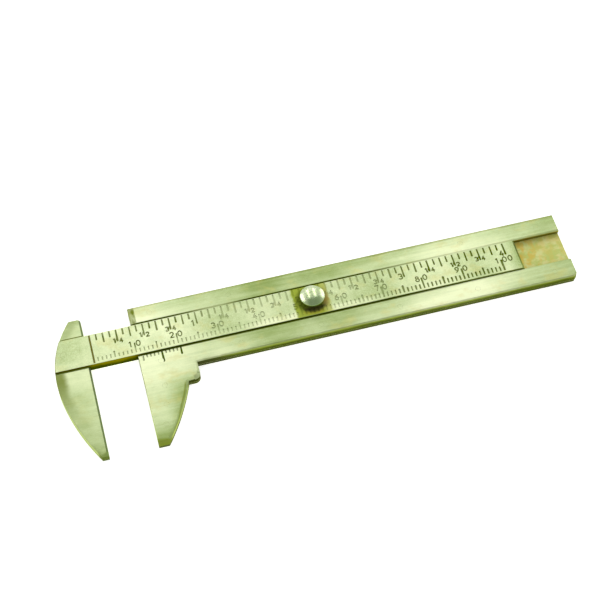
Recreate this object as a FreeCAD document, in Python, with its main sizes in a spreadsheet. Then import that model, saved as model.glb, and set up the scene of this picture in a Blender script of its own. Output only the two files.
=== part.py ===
"""A small brass vernier caliper, drawn as the loose pieces it is put together from.

Frame: the origin is on the flat back face, on the bar's centre line, under the vernier's zero line.
+X runs along the bar away from the jaws, -Y is the way the jaws point and +Z comes out of the front.
The pieces are drawn about their own jaw face (x = 0) and then placed; millimetres throughout.
"""

import FreeCAD, Part
import math
import os
import re

import Sketcher

doc = FreeCAD.newDocument("VernierCaliper")

sizes = [
    # the fixed part: a back plate with two rails riveted on it
    ("body_length", 106.3, "fixed part, from the jaw face to the far end"),
    ("body_top", 9.45, "bar's centre line to the fixed part's upper edge"),
    ("body_bottom", 9.55, "bar's centre line to the fixed part's lower edge"),
    ("back_thickness", 0.8, "back plate, the floor of the slot"),
    ("rail_thickness", 1.5, "rails and the jaw's front layer"),
    ("corner_cut", 0.9, "chamfer on the lower far corner"),
    ("end_bevel_run", 1.5, "filed slope on the upper rail's end, along the rail"),
    ("end_bevel_drop", 0.2, "filed slope on the upper rail's end, down from the face"),
    ("rail_edge", 0.3, "chamfer on the fixed part's long outer edges"),
    # the jaws
    ("jaw_reach", 28.75, "bar's centre line to the jaw tips"),
    ("jaw_tip_width", 2.5, "fixed jaw's tip"),
    ("jaw_root_width", 10.1, "fixed jaw, level with the lug's underside"),
    ("jaw_curve", 59.0, "radius of the fixed jaw's outer edge"),
    ("jaw_bevel", 0.5, "chamfer on the fixed jaw's outer edge and on both tips"),
    ("lug_width", 13.1, "jaw face to the thumb lug's far side"),
    ("lug_drop", 4.45, "thumb lug below the fixed part's lower edge"),
    ("lug_corner", 1.5, "round on the thumb lug's corner"),
    # the sliding part: a dovetail bar let into a crescent head
    ("bar_width", 8.1, "bar across its front face"),
    ("bar_proud", 0.4, "bar's face above the rails' faces"),
    ("bar_reach", 106.0, "bar beyond the head's jaw face"),
    ("bar_end_bevel", 0.45, "chamfer on the bar's far end"),
    ("bar_edge", 0.1, "chamfer on the bar's long front edges"),
    ("dovetail_angle", 16.0, "degrees that the bar's flanks lean from upright"),
    ("slide_gap", 0.1, "clearance between bar and rails, each side"),
    ("lift_gap", 0.05, "clearance between bar and slot floor"),
    ("head_width", 8.3, "head's jaw face to the furthest point of the crescent"),
    ("head_tip_width", 1.6, "head's jaw tip"),
    ("crescent_radius", 27.0, "radius of the crescent"),
    ("crescent_drop", 6.85, "bar's centre line down to the crescent's furthest point"),
    ("flank_turn", 10.5, "degrees past that point where the flatter flank takes over"),
    ("nib_corner", 0.9, "round on the nib's corner"),
    ("head_edge", 0.4, "chamfer along the head's measuring edge"),
    ("head_round", 0.6, "round along the crescent's front edge"),
    ("seam_gap", 0.03, "solder seam between bar and head, each side"),
    # how far it slides, and what stops it
    ("jaw_opening", 11.3, "gap between the jaws as drawn"),
    ("index_inset", 1.2, "zero line behind the jaw face, on bar and on vernier alike"),
    ("tail_grip", 14.0, "bar still inside the fixed part when the stop pin holds it"),
    ("pin_diameter", 1.2, "stop pin"),
    ("pin_inset", 4.0, "stop pin behind the fixed jaw's face"),
    ("pin_offset", 2.5, "stop pin above the bar's centre line"),
    ("pin_height", 0.45, "stop pin above the slot floor"),
    ("groove_width", 1.5, "stop groove in the bar's underside"),
    ("groove_depth", 0.6, "stop groove in the bar's underside"),
    ("groove_run_out", 0.1, "spare groove beyond the stop pin when the jaws are shut"),
    # friction spring in the bar's tail
    ("recess_length", 12.0, "spring recess in the bar's underside"),
    ("recess_width", 2.8, "spring recess in the bar's underside"),
    ("recess_depth", 0.7, "spring recess in the bar's underside"),
    ("recess_inset", 1.4, "spring recess from the bar's far end"),
    ("recess_offset", 1.3, "spring recess below the bar's centre line"),
    ("spring_thickness", 0.18, "friction spring"),
    ("spring_play", 0.2, "spring's clearance in its recess, each side and end"),
    ("spring_gap", 0.02, "spring's clearance to the slot floor and recess roof"),
    # thumb button
    ("button_diameter", 5.9, "button's rim"),
    ("button_place", 53.3, "button from the bar's zero line"),
    ("button_neck_diameter", 4.0, "button's neck"),
    ("button_neck_height", 1.25, "button's rim above the bar's face"),
    ("button_rim_height", 0.5, "straight part of the rim"),
    ("button_dome_height", 0.6, "dome above the rim"),
    ("shank_diameter", 2.0, "button's shank through the bar"),
    ("shank_head_diameter", 2.7, "shank's end, hammered out under the bar"),
    ("shank_head_height", 0.35, "countersink that the shank's end fills"),
    # rivets and pins, filed flush
    ("rivet_diameter", 1.2, "rivets through rails and back plate"),
    ("rivet_inset", 5.0, "end rivets from the fixed part's ends"),
    ("head_pin_diameter", 1.5, "pins through the bar and the head"),
    ("head_pin_inset", 2.3, "first head pin behind the head's jaw face"),
    ("head_pin_pitch", 3.2, "between the head pins"),
]

sheet = doc.addObject("Spreadsheet::Sheet", "Dims")
for row, (alias, value, note) in enumerate(sizes, start=1):
    sheet.set(f"A{row}", alias)
    sheet.set(f"B{row}", str(value))
    sheet.set(f"C{row}", note)
    sheet.setAlias(f"B{row}", alias)
doc.recompute()


def sized(text):
    """Point every sheet name in an expression at the sheet; sheet names all hold an underscore."""
    return re.sub(r"\b[a-z]+(?:_[a-z]+)+\b", lambda name: "Dims." + name.group(0), text)


def at(text):
    """What an expression comes to, as a plain number."""
    return float(sheet.evalExpression(sized(text)))


# heights and half widths that several pieces share, as expressions on the sheet
body_face = "(back_thickness + rail_thickness)"
bar_floor = "(back_thickness + lift_gap)"
bar_face = "(back_thickness + rail_thickness + bar_proud)"
bar_foot = f"(bar_width / 2 + ({bar_face} - {bar_floor}) * tan(dovetail_angle))"
side_gap = "(slide_gap / cos(dovetail_angle))"
slot_mouth = f"(bar_width / 2 + bar_proud * tan(dovetail_angle) + {side_gap})"
slot_foot = f"(bar_width / 2 + (rail_thickness + bar_proud) * tan(dovetail_angle) + {side_gap})"
lug_bottom = "(body_bottom + lug_drop)"
button_x = "(index_inset + button_place)"
recess_middle = "(bar_reach - recess_inset - recess_length / 2)"

# the crescent's outline: an upper arc, then a flatter flank that leaves it without a corner
crescent_x = "(crescent_radius - head_width)"
nib_x = f"({crescent_x} - sqrt(crescent_radius ^ 2 - (body_top + crescent_drop) ^ 2))"
flank_x = f"({crescent_x} - crescent_radius * cos(flank_turn))"
flank_y = "(-crescent_drop - crescent_radius * sin(flank_turn))"
flank_run = f"(-head_tip_width - {flank_x})"
flank_fall = f"(jaw_reach + {flank_y})"
flank_lean = f"({flank_run} * cos(flank_turn) - {flank_fall} * sin(flank_turn))"
flank_radius = f"(({flank_run} ^ 2 + {flank_fall} ^ 2) / (2 * {flank_lean}))"


def plane_of(body, role):
    return next(feature for feature in body.Origin.OriginFeatures if feature.Role == role)


def new_body(label, along="-index_inset", across="0"):
    """An empty piece; along and across are where its own origin stands in the caliper's frame."""
    body = doc.addObject("PartDesign::Body", label)
    body.Label = label
    body.setExpression("Placement.Base.x", sized(along))
    body.setExpression("Placement.Base.y", sized(across))
    return body


def new_sketch(body, name, role, offset="0"):
    sketch = body.newObject("Sketcher::SketchObject", f"{body.Name}_{name}")
    sketch.AttachmentSupport = (plane_of(body, role), [""])
    sketch.MapMode = "FlatFace"
    sketch.setExpression("AttachmentOffset.Base.z", sized(offset))
    return sketch


def bind(sketch, kind, places, text):
    """Add one constraint and tie its value to the sheet."""
    index = sketch.addConstraint(Sketcher.Constraint(kind, *places, at(text)))
    sketch.setExpression(f"Constraints[{index}]", sized(text))


def arc_between(here, there, radius, inwards):
    """An arc from here to there, bulging to the right of that way, or to its left if inwards."""
    side = -1 if inwards else 1
    chord = there - here
    rise = side * math.sqrt(radius**2 - (chord.Length / 2) ** 2)
    centre = here + chord / 2 + FreeCAD.Vector(-chord.y, chord.x, 0) * (rise / chord.Length)
    spots = (there, here) if inwards else (here, there)
    angles = [math.atan2(spot.y - centre.y, spot.x - centre.x) for spot in spots]
    return Part.ArcOfCircle(Part.Circle(centre, FreeCAD.Vector(0, 0, 1), radius), *angles)


def outline(sketch, corners):
    """A closed anticlockwise outline. A corner is its x and y; a third entry is the radius of an
    arc to the next corner, which bulges outwards, or inwards when a fourth entry says so."""
    spots = [FreeCAD.Vector(at(corner[0]), at(corner[1]), 0) for corner in corners]
    first = sketch.GeometryCount
    count = len(corners)
    starts = []
    ends = []
    for index, corner in enumerate(corners):
        here = spots[index]
        there = spots[(index + 1) % count]
        inwards = corner[3:] == ("inwards",)
        if len(corner) == 2:
            sketch.addGeometry(Part.LineSegment(here, there))
        else:
            sketch.addGeometry(arc_between(here, there, at(corner[2]), inwards))
        starts.append(2 if inwards else 1)
        ends.append(1 if inwards else 2)
    for index, corner in enumerate(corners):
        edge = first + index
        after = (index + 1) % count
        meets = ("Coincident", edge, ends[index], first + after, starts[after])
        sketch.addConstraint(Sketcher.Constraint(*meets))
        bind(sketch, "DistanceX", (-1, 1, edge, starts[index]), corner[0])
        bind(sketch, "DistanceY", (-1, 1, edge, starts[index]), corner[1])
        if len(corner) > 2:
            bind(sketch, "Radius", (edge,), corner[2])


def box_outline(sketch, left, right, low, high):
    outline(sketch, [(left, low), (right, low), (right, high), (left, high)])


def circles(sketch, centres, diameter):
    for x, y in centres:
        ring = Part.Circle(FreeCAD.Vector(at(x), at(y), 0), FreeCAD.Vector(0, 0, 1), at(diameter) / 2)
        edge = sketch.addGeometry(ring)
        bind(sketch, "DistanceX", (-1, 1, edge, 3), x)
        bind(sketch, "DistanceY", (-1, 1, edge, 3), y)
        bind(sketch, "Radius", (edge,), f"{diameter} / 2")


def pad(body, sketch, length, both_ways=False):
    feature = body.newObject("PartDesign::Pad", f"{sketch.Name}_pad")
    feature.Profile = sketch
    feature.Midplane = both_ways
    feature.setExpression("Length", sized(length))
    doc.recompute()


def pocket(body, sketch, depth=None):
    """Cut a sketch into the piece: upwards to a depth, or right through when none is given."""
    before = body.Shape.Volume
    feature = body.newObject("PartDesign::Pocket", f"{sketch.Name}_cut")
    feature.Profile = sketch
    if depth is None:
        feature.Type = "ThroughAll"
        feature.Midplane = True
    else:
        feature.Reversed = True
        feature.setExpression("Length", sized(depth))
    doc.recompute()
    if not body.Shape.Volume < before:
        raise RuntimeError(f"{feature.Name} cut nothing")


def dress(body, kind, name, test, size):
    """Chamfer or Fillet the edges whose middle, in the piece's own frame, passes the test."""
    own_frame = body.Placement.inverse()
    names = []
    for number, edge in enumerate(body.Shape.Edges, start=1):
        middle = edge.valueAt((edge.FirstParameter + edge.LastParameter) / 2)
        if test(own_frame.multVec(middle)):
            names.append(f"Edge{number}")
    if not names:
        raise RuntimeError(f"{body.Label} has no edge for {name}")
    tip = body.Tip
    feature = body.newObject(f"PartDesign::{kind}", f"{body.Name}_{name}")
    feature.Base = (tip, names)
    feature.setExpression("Size" if kind == "Chamfer" else "Radius", sized(size))
    doc.recompute()


def near(value, text):
    return abs(value - at(text)) < 1e-4


def pins(label, places, diameter, top, along="-index_inset"):
    """Upright pins that start flush with the back face, kept together as one piece."""
    rods = []
    for x, y in places:
        rod = doc.addObject("Part::Cylinder", f"{label}_rod")
        rod.setExpression("Radius", sized(f"{diameter} / 2"))
        rod.setExpression("Height", sized(top))
        rod.setExpression("Placement.Base.x", sized(f"{along} + {x}"))
        rod.setExpression("Placement.Base.y", sized(y))
        rods.append(rod)
    group = doc.addObject("Part::Compound", label)
    group.Label = label
    group.Links = rods
    return group


# where the pins and rivets stand, each in its own part's frame
rail_rivet_count = 6
rail_pitch = f"((body_length - 2 * rivet_inset) / {rail_rivet_count - 1})"
rail_steps = [f"(rivet_inset + {step} * {rail_pitch})" for step in range(rail_rivet_count)]
upper_rivets = [(step, f"(({slot_foot} + body_top) / 2)") for step in rail_steps]
lower_rivets = [(step, f"(-({slot_foot} + body_bottom) / 2)") for step in rail_steps]
jaw_depth = f"(jaw_reach - {lug_bottom})"
jaw_rivets = [
    (f"(jaw_root_width * {across})", f"(-{lug_bottom} - {jaw_depth} * {down})")
    for across, down in ((0.45, 0), (0.38, 0.35), (0.27, 0.7))
]
head_pin_places = [(f"(-head_pin_inset - {step} * head_pin_pitch)", "0") for step in range(2)]
stop_pin_place = [("pin_inset", "pin_offset")]
head_home = "(-index_inset - jaw_opening)"

# the fixed part's outline from jaw tip to far end, shared by the back plate and the front layer
jaw_outline = [
    ("0", "-jaw_reach"),
    ("jaw_tip_width", "-jaw_reach", "jaw_curve"),
    ("jaw_root_width", f"-{lug_bottom}"),
    ("lug_width - lug_corner", f"-{lug_bottom}", "lug_corner"),
    ("lug_width", f"lug_corner - {lug_bottom}"),
    ("lug_width", "-body_bottom"),
    ("body_length - corner_cut", "-body_bottom"),
    ("body_length", "corner_cut - body_bottom"),
]


def make_back_plate():
    body = new_body("back_plate")
    plan = new_sketch(body, "plan", "XY_Plane")
    outline(plan, jaw_outline + [("body_length", "body_top"), ("0", "body_top")])
    pad(body, plan, "back_thickness")
    holes = new_sketch(body, "rivet_holes", "XY_Plane")
    circles(holes, upper_rivets + lower_rivets + jaw_rivets, "rivet_diameter")
    circles(holes, stop_pin_place, "pin_diameter")
    pocket(body, holes)
    return body


def make_upper_rail():
    body = new_body("upper_rail")
    section = new_sketch(body, "section", "YZ_Plane")
    outline(section, [
        (slot_foot, "back_thickness"),
        ("body_top", "back_thickness"),
        ("body_top", body_face),
        (slot_mouth, body_face),
    ])
    pad(body, section, "body_length")

    def outer_front(point):
        return near(point.y, "body_top") and near(point.z, body_face)

    dress(body, "Chamfer", "outer_edge", outer_front, "rail_edge")
    slope = new_sketch(body, "end_slope", "XZ_Plane", "-body_top")
    outline(slope, [
        ("0", f"{body_face} - end_bevel_drop"),
        ("end_bevel_run", body_face),
        ("0", body_face),
    ])
    pocket(body, slope)
    holes = new_sketch(body, "rivet_holes", "XY_Plane")
    circles(holes, upper_rivets, "rivet_diameter")
    pocket(body, holes)
    return body


def make_fixed_jaw():
    body = new_body("fixed_jaw")
    plan = new_sketch(body, "plan", "XY_Plane", "back_thickness")
    outline(plan, jaw_outline + [("body_length", f"-{slot_mouth}"), ("0", f"-{slot_mouth}")])
    pad(body, plan, "rail_thickness")

    def outer_front(point):
        return near(point.z, body_face) and point.y < at(f"-{lug_bottom}") and point.x > 0.01

    def long_front(point):
        return near(point.z, body_face) and near(point.y, "-body_bottom")

    dress(body, "Chamfer", "jaw_edge", outer_front, "jaw_bevel")
    dress(body, "Chamfer", "outer_edge", long_front, "rail_edge")
    undercut = new_sketch(body, "undercut", "YZ_Plane", "body_length / 2")
    outline(undercut, [
        (f"-{slot_foot}", "back_thickness"),
        (f"-{slot_mouth}", "back_thickness"),
        (f"-{slot_mouth}", body_face),
    ])
    pocket(body, undercut)
    holes = new_sketch(body, "rivet_holes", "XY_Plane", "back_thickness")
    circles(holes, lower_rivets + jaw_rivets, "rivet_diameter")
    pocket(body, holes)
    return body


def make_slide_head():
    body = new_body("slide_head", head_home)
    plan = new_sketch(body, "plan", "XY_Plane")
    outline(plan, [
        ("-head_tip_width", "-jaw_reach"),
        ("0", "-jaw_reach"),
        ("0", "body_top - nib_corner", "nib_corner"),
        ("-nib_corner", "body_top"),
        (nib_x, "body_top", "crescent_radius"),
        (flank_x, flank_y, flank_radius),
    ])
    pad(body, plan, body_face)

    def crescent_front(point):
        on_curve = point.x < at("-head_tip_width") - 0.01 and point.y < at("body_top") - 0.01
        return near(point.z, body_face) and on_curve

    def measuring_front(point):
        return near(point.z, body_face) and near(point.x, "0")

    dress(body, "Fillet", "crescent_edge", crescent_front, "head_round")
    dress(body, "Chamfer", "measuring_edge", measuring_front, "head_edge")
    foot = f"({bar_foot} + seam_gap)"
    mouth = f"({foot} - ({body_face} - {bar_floor}) * tan(dovetail_angle))"
    channel = new_sketch(body, "channel", "YZ_Plane")
    outline(channel, [
        (f"-{foot}", bar_floor),
        (foot, bar_floor),
        (mouth, body_face),
        (f"-{mouth}", body_face),
    ])
    pocket(body, channel)
    holes = new_sketch(body, "pin_holes", "XY_Plane")
    circles(holes, head_pin_places, "head_pin_diameter")
    pocket(body, holes)
    return body


def make_slide_bar():
    body = new_body("slide_bar", head_home)
    low_x = f"({crescent_x} - sqrt(crescent_radius ^ 2 - (crescent_drop - {bar_foot}) ^ 2))"
    high_x = f"({crescent_x} - sqrt(crescent_radius ^ 2 - (crescent_drop + {bar_foot}) ^ 2))"
    plan = new_sketch(body, "plan", "XY_Plane", bar_floor)
    outline(plan, [
        (low_x, f"-{bar_foot}"),
        ("bar_reach", f"-{bar_foot}"),
        ("bar_reach", bar_foot),
        (high_x, bar_foot, "crescent_radius"),
    ])
    pad(body, plan, f"{bar_face} - {bar_floor}")
    flanks = new_sketch(body, "flanks", "YZ_Plane", "bar_reach / 2")
    outline(flanks, [
        (bar_foot, bar_floor),
        (bar_foot, bar_face),
        ("bar_width / 2", bar_face),
    ])
    outline(flanks, [
        (f"-{bar_foot}", bar_floor),
        ("-bar_width / 2", bar_face),
        (f"-{bar_foot}", bar_face),
    ])
    pocket(body, flanks)

    def end_front(point):
        return near(point.z, bar_face) and near(point.x, "bar_reach")

    def long_front(point):
        return near(point.z, bar_face) and near(abs(point.y), "bar_width / 2")

    dress(body, "Chamfer", "end_edge", end_front, "bar_end_bevel")
    dress(body, "Chamfer", "long_edges", long_front, "bar_edge")
    groove = new_sketch(body, "stop_groove", "XY_Plane", bar_floor)
    spare = "(pin_diameter / 2 + groove_run_out)"
    box_outline(
        groove,
        f"pin_inset - {spare}",
        f"pin_inset + bar_reach - tail_grip + {spare}",
        "pin_offset - groove_width / 2",
        "pin_offset + groove_width / 2",
    )
    pocket(body, groove, "groove_depth")
    recess = new_sketch(body, "spring_recess", "XY_Plane", bar_floor)
    box_outline(
        recess,
        f"{recess_middle} - recess_length / 2",
        f"{recess_middle} + recess_length / 2",
        "-recess_offset - recess_width / 2",
        "-recess_offset + recess_width / 2",
    )
    pocket(body, recess, "recess_depth")
    seat = new_sketch(body, "shank_seat", "XY_Plane", bar_floor)
    circles(seat, [(button_x, "0")], "shank_head_diameter")
    pocket(body, seat, "shank_head_height")
    holes = new_sketch(body, "holes", "XY_Plane", bar_floor)
    circles(holes, [(button_x, "0")], "shank_diameter")
    circles(holes, head_pin_places, "head_pin_diameter")
    pocket(body, holes)
    return body


def make_friction_spring():
    """A bowed strip: its crown rubs on the slot floor and its ends press on the recess roof."""
    body = new_body("friction_spring", f"{head_home} + {recess_middle}", "-recess_offset")
    end = "(recess_length / 2 - spring_play)"
    crown = "(back_thickness + spring_gap)"
    roof = f"({bar_floor} + recess_depth - spring_gap)"
    bow = f"({roof} - {crown} - spring_thickness)"
    radius = f"(({end} ^ 2 + {bow} ^ 2) / (2 * {bow}))"
    profile = new_sketch(body, "profile", "XZ_Plane")
    outline(profile, [
        (f"-{end}", f"{crown} + {bow}", radius),
        (end, f"{crown} + {bow}"),
        (end, roof, radius, "inwards"),
        (f"-{end}", roof),
    ])
    pad(body, profile, "recess_width - 2 * spring_play", both_ways=True)
    return body


def make_thumb_button():
    body = new_body("thumb_button", f"{head_home} + {button_x}")
    shoulder = f"({bar_floor} + shank_head_height)"
    rim = f"({bar_face} + button_neck_height)"
    rim_top = f"({rim} + button_rim_height)"
    dome_radius = "(((button_diameter / 2) ^ 2 + button_dome_height ^ 2) / (2 * button_dome_height))"
    profile = new_sketch(body, "profile", "XZ_Plane")
    outline(profile, [
        ("0", bar_floor),
        ("shank_head_diameter / 2", bar_floor),
        ("shank_head_diameter / 2", shoulder),
        ("shank_diameter / 2", shoulder),
        ("shank_diameter / 2", bar_face),
        ("button_neck_diameter / 2", bar_face),
        ("button_neck_diameter / 2", rim),
        ("button_diameter / 2", rim),
        ("button_diameter / 2", rim_top, dome_radius),
        ("0", f"{rim_top} + button_dome_height"),
    ])
    turned = body.newObject("PartDesign::Revolution", "thumb_button_turned")
    turned.Profile = profile
    turned.ReferenceAxis = (profile, ["V_Axis"])
    turned.Angle = 360
    doc.recompute()
    return body


pieces = [
    make_back_plate(),
    make_upper_rail(),
    make_fixed_jaw(),
    pins("upper_rail_rivets", upper_rivets, "rivet_diameter", body_face),
    pins("lower_rail_rivets", lower_rivets, "rivet_diameter", body_face),
    pins("jaw_rivets", jaw_rivets, "rivet_diameter", body_face),
    pins("stop_pin", stop_pin_place, "pin_diameter", "back_thickness + pin_height"),
    make_slide_bar(),
    make_slide_head(),
    pins("head_pins", head_pin_places, "head_pin_diameter", bar_face, head_home),
    make_thumb_button(),
    make_friction_spring(),
]
doc.recompute()

for item in doc.Objects:
    if "Invalid" in item.State or "Error" in item.State:
        raise RuntimeError(f"{item.Label} did not compute: {item.State}")
for piece in pieces:
    if piece.Shape.isNull() or not piece.Shape.isValid():
        raise RuntimeError(f"{piece.Label} has no valid shape")

os.makedirs("parts", exist_ok=True)
for piece in pieces:
    piece.Shape.exportStep(f"parts/{piece.Label}.step")
    print(piece.Label, len(piece.Shape.Solids), "solids", round(piece.Shape.Volume, 2), "mm3")
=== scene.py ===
import math
import random

import bmesh
import bpy
from mathutils import Matrix, Vector
from mathutils.geometry import delaunay_2d_cdt


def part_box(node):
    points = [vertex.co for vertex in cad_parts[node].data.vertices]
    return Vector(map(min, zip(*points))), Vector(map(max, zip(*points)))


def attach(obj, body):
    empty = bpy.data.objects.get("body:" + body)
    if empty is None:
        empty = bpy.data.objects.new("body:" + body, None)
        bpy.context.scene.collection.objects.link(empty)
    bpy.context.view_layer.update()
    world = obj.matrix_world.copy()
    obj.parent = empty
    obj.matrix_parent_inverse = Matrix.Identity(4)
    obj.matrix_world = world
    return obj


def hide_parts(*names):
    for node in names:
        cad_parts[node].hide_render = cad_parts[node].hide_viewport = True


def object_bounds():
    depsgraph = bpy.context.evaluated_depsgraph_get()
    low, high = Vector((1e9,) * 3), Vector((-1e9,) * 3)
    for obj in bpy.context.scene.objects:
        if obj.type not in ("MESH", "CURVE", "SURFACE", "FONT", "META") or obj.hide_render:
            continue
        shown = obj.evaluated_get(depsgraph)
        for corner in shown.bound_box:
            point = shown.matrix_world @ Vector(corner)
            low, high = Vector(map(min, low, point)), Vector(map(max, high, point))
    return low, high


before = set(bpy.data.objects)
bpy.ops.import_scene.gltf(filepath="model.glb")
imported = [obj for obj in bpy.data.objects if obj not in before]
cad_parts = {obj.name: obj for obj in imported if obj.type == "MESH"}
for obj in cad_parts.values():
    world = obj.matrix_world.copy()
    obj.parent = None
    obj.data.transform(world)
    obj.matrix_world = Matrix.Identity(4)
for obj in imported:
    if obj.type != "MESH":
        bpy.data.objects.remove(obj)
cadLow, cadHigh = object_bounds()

mm = 0.001  # everything below is in millimetres until a mesh is finished


def nodeBox(node):
    low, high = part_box(node)
    return low / mm, high / mm


plateLow, plateHigh = nodeBox("back_plate")
jawHigh = nodeBox("fixed_jaw")[1]
barLow, barHigh = nodeBox("slide_bar")
headLow, headHigh = nodeBox("slide_head")
buttonLow, buttonHigh = nodeBox("thumb_button")

# places and sizes that several pieces share, measured on the frame
body = {
    "left": plateLow.x,          # the fixed jaw's measuring face
    "right": plateHigh.x,
    "tip": plateLow.y,
    "top": plateHigh.y,
    "bottom": -9.55,
    "floor": plateHigh.z,        # the slot's floor
    "face": jawHigh.z,           # front of rails, jaw and head
    "slotMouth": -jawHigh.y,     # half the slot's width at the face
    "slotFoot": 4.70,            # and at its floor
    "slotLow": 0.15,             # how far its lower edge is worn back
    "rivetRadius": 0.6,
    "ringGap": 0.02,             # hairline round a filed rivet
}
slide = {
    "jawFace": headHigh.x,
    "zero": headHigh.x + 1.2,    # the zero line
    "end": barHigh.x,
    "floor": barLow.z,
    "face": barHigh.z,
    "foot": barHigh.y,           # half the bar's width at its foot
    "half": 4.05,                # and at its face
    "buttonX": (buttonLow.x + buttonHigh.x) / 2,
}


# outlines and closed shells


# Points from here up to there, on an arc that bulges outwards (inwards if radius < 0).
def between(here, there, radius, steps):
    if not radius:
        return [tuple(here)]
    a, b = Vector(here), Vector(there)
    chord = b - a
    rise = math.sqrt(radius ** 2 - (chord.length / 2) ** 2) * (1 if radius > 0 else -1)
    centre = a + chord / 2 + Vector((-chord.y, chord.x)) * (rise / chord.length)
    start = math.atan2(a.y - centre.y, a.x - centre.x)
    sweep = math.atan2(b.y - centre.y, b.x - centre.x) - start
    sweep = (sweep + math.pi) % (2 * math.pi) - math.pi
    size = abs(radius)
    turns = [start + sweep * k / steps for k in range(steps)]
    return [(centre.x + size * math.cos(t), centre.y + size * math.sin(t)) for t in turns]


# Corners are x, y, radius of the arc to the next one, its steps and the name of its edge.
def trace(corners):
    points, names = [], []
    for index, (x, y, radius, steps, name) in enumerate(corners):
        after = corners[(index + 1) % len(corners)]
        made = between((x, y), after[:2], radius, steps)
        points += made
        names += [(name, (k + 0.5) / len(made)) for k in range(len(made))]
    return points, names


nearlyStraight = 0.995  # cosine of the turn below which a corner needs no mitre


# Move each edge of an anticlockwise outline inwards by its own width.
def inset(points, widths):
    moved = []
    count = len(points)
    for i in range(count):
        here = Vector(points[i])
        into = (here - Vector(points[i - 1])).normalized()
        onward = (Vector(points[(i + 1) % count]) - here).normalized()
        a, b = Vector((-into.y, into.x)), Vector((-onward.y, onward.x))
        wa, wb = widths[i - 1], widths[i]
        turn = a.dot(b)
        if turn > nearlyStraight:
            step = (a + b).normalized() * (wa + wb) / 2
        else:
            span = 1 - turn * turn
            step = a * ((wa - wb * turn) / span) + b * ((wb - wa * turn) / span)
        moved.append(tuple(here + step))
    return moved


# A bevel's width, its drop, whether it is round, and how its width changes along the edge.
def chamfer(width, drop=None, taper=None):
    return width, width if drop is None else drop, False, taper


def rounded(width, drop=None):
    return width, width if drop is None else drop, True, None


# Rings from the wall to the cap, with the bevel that each named edge has.
def edgeRings(points, names, z, bevels, up, steps):
    sizes = []
    for name, along in names:
        width, drop, isRound, taper = bevels[name] if name in bevels else bevels["rest"]
        share = 1.0 if taper is None else taper(along)
        sizes.append((width * share, drop * share, isRound))
    rings = []
    for k in range(steps + 1):
        turn = math.pi / 2 * k / steps
        widths, drops = [], []
        for width, drop, isRound in sizes:
            widths.append(width * ((1 - math.cos(turn)) if isRound else k / steps))
            drops.append(drop * ((1 - math.sin(turn)) if isRound else 1 - k / steps))
        ring = inset(points, widths)
        lower = [max(drops[i - 1], drops[i]) for i in range(len(points))]
        rings.append([(x, y, z - up * lower[i]) for i, (x, y) in enumerate(ring)])
    return rings


def signedArea(points):
    pairs = zip(points, points[1:] + points[:1])
    return sum(a[0] * b[1] - b[0] * a[1] for a, b in pairs) / 2


# Fill an outline. A region is an outline and its depth, or None for a hole down to joinZ.
def cap(soup, outline, z, up, regions, joinZ):
    verts, faces = [], []
    for ring in [outline] + [region[0] for region in regions]:
        ring = list(ring) if signedArea(list(ring)) > 0 else list(ring)[::-1]
        faces.append(list(range(len(verts), len(verts) + len(ring))))
        verts += [Vector(point) for point in ring]
    spots, _, triangles, _, _, owners = delaunay_2d_cdt(verts, [], faces, 0, 1e-6)
    levels = {}
    for triangle, owner in zip(triangles, owners):
        if 0 not in owner:
            continue
        inside = [regions[o - 1][1] for o in owner if o > 0]
        level = "hole" if None in inside else z - up * max(inside, default=0)
        if level != "hole":
            soup.append([(spots[v].x, spots[v].y, level) for v in triangle])
        for a, b in zip(triangle, triangle[1:] + triangle[:1]):
            levels.setdefault((min(a, b), max(a, b)), []).append(level)
    for (a, b), found in levels.items():
        if len(found) < 2 or found[0] == found[1]:
            continue
        high, low = [joinZ if level == "hole" else level for level in found]
        p, q = spots[a], spots[b]
        soup.append([(p.x, p.y, high), (q.x, q.y, high), (q.x, q.y, low), (p.x, p.y, low)])


def bands(soup, rings):
    for lower, upper in zip(rings, rings[1:]):
        for i in range(len(lower)):
            j = (i + 1) % len(lower)
            soup.append([lower[i], lower[j], upper[j], upper[i]])


def flat(ring):
    return [(x, y) for x, y, _ in ring]


# A flat piece between two outlines. Each side is an outline, a z, bevels and their steps.
def slab(names, behind, before, joinZ, holes, marks=()):
    soup = []
    outline, backZ, bevels, steps = behind
    back = edgeRings(outline, names, backZ, bevels, -1, steps)[::-1]
    outline, faceZ, bevels, steps = before
    front = edgeRings(outline, names, faceZ, bevels, 1, steps)
    bands(soup, back + front)
    cap(soup, flat(back[0]), backZ, -1, holes, joinZ)
    cap(soup, flat(front[-1]), faceZ, 1, [*holes, *marks], joinZ)
    return soup


welding = {
    "reach": 5e-5,               # millimetres
    "sliver": 2e-5,
    "cutterReach": 1e-7,         # metres
    "sharpAngle": math.radians(26),
}


# Weld the faces into a closed mesh in metres, set its sharp edges and hand it to the frame.
def finishMesh(name, soup, material, bodyName, node, cutters=()):
    shape = bmesh.new()
    for face in soup:
        shape.faces.new([shape.verts.new(point) for point in face])
    bmesh.ops.remove_doubles(shape, verts=shape.verts, dist=welding["reach"])
    bmesh.ops.dissolve_degenerate(shape, edges=shape.edges, dist=welding["sliver"])
    bmesh.ops.recalc_face_normals(shape, faces=shape.faces)
    bmesh.ops.scale(shape, vec=(mm, mm, mm), verts=shape.verts)
    mesh = bpy.data.meshes.new(name)
    shape.to_mesh(mesh)
    shape.free()
    piece = bpy.data.objects.new(name, mesh)
    bpy.context.scene.collection.objects.link(piece)
    for cutter in cutters:
        carve(piece, cutter)
    soften(piece.data)
    weighted = piece.modifiers.new("WeightedNormal", "WEIGHTED_NORMAL")
    weighted.keep_sharp = True
    piece.data.materials.clear()
    piece.data.materials.append(material)
    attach(piece, bodyName)
    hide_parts(node)


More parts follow.
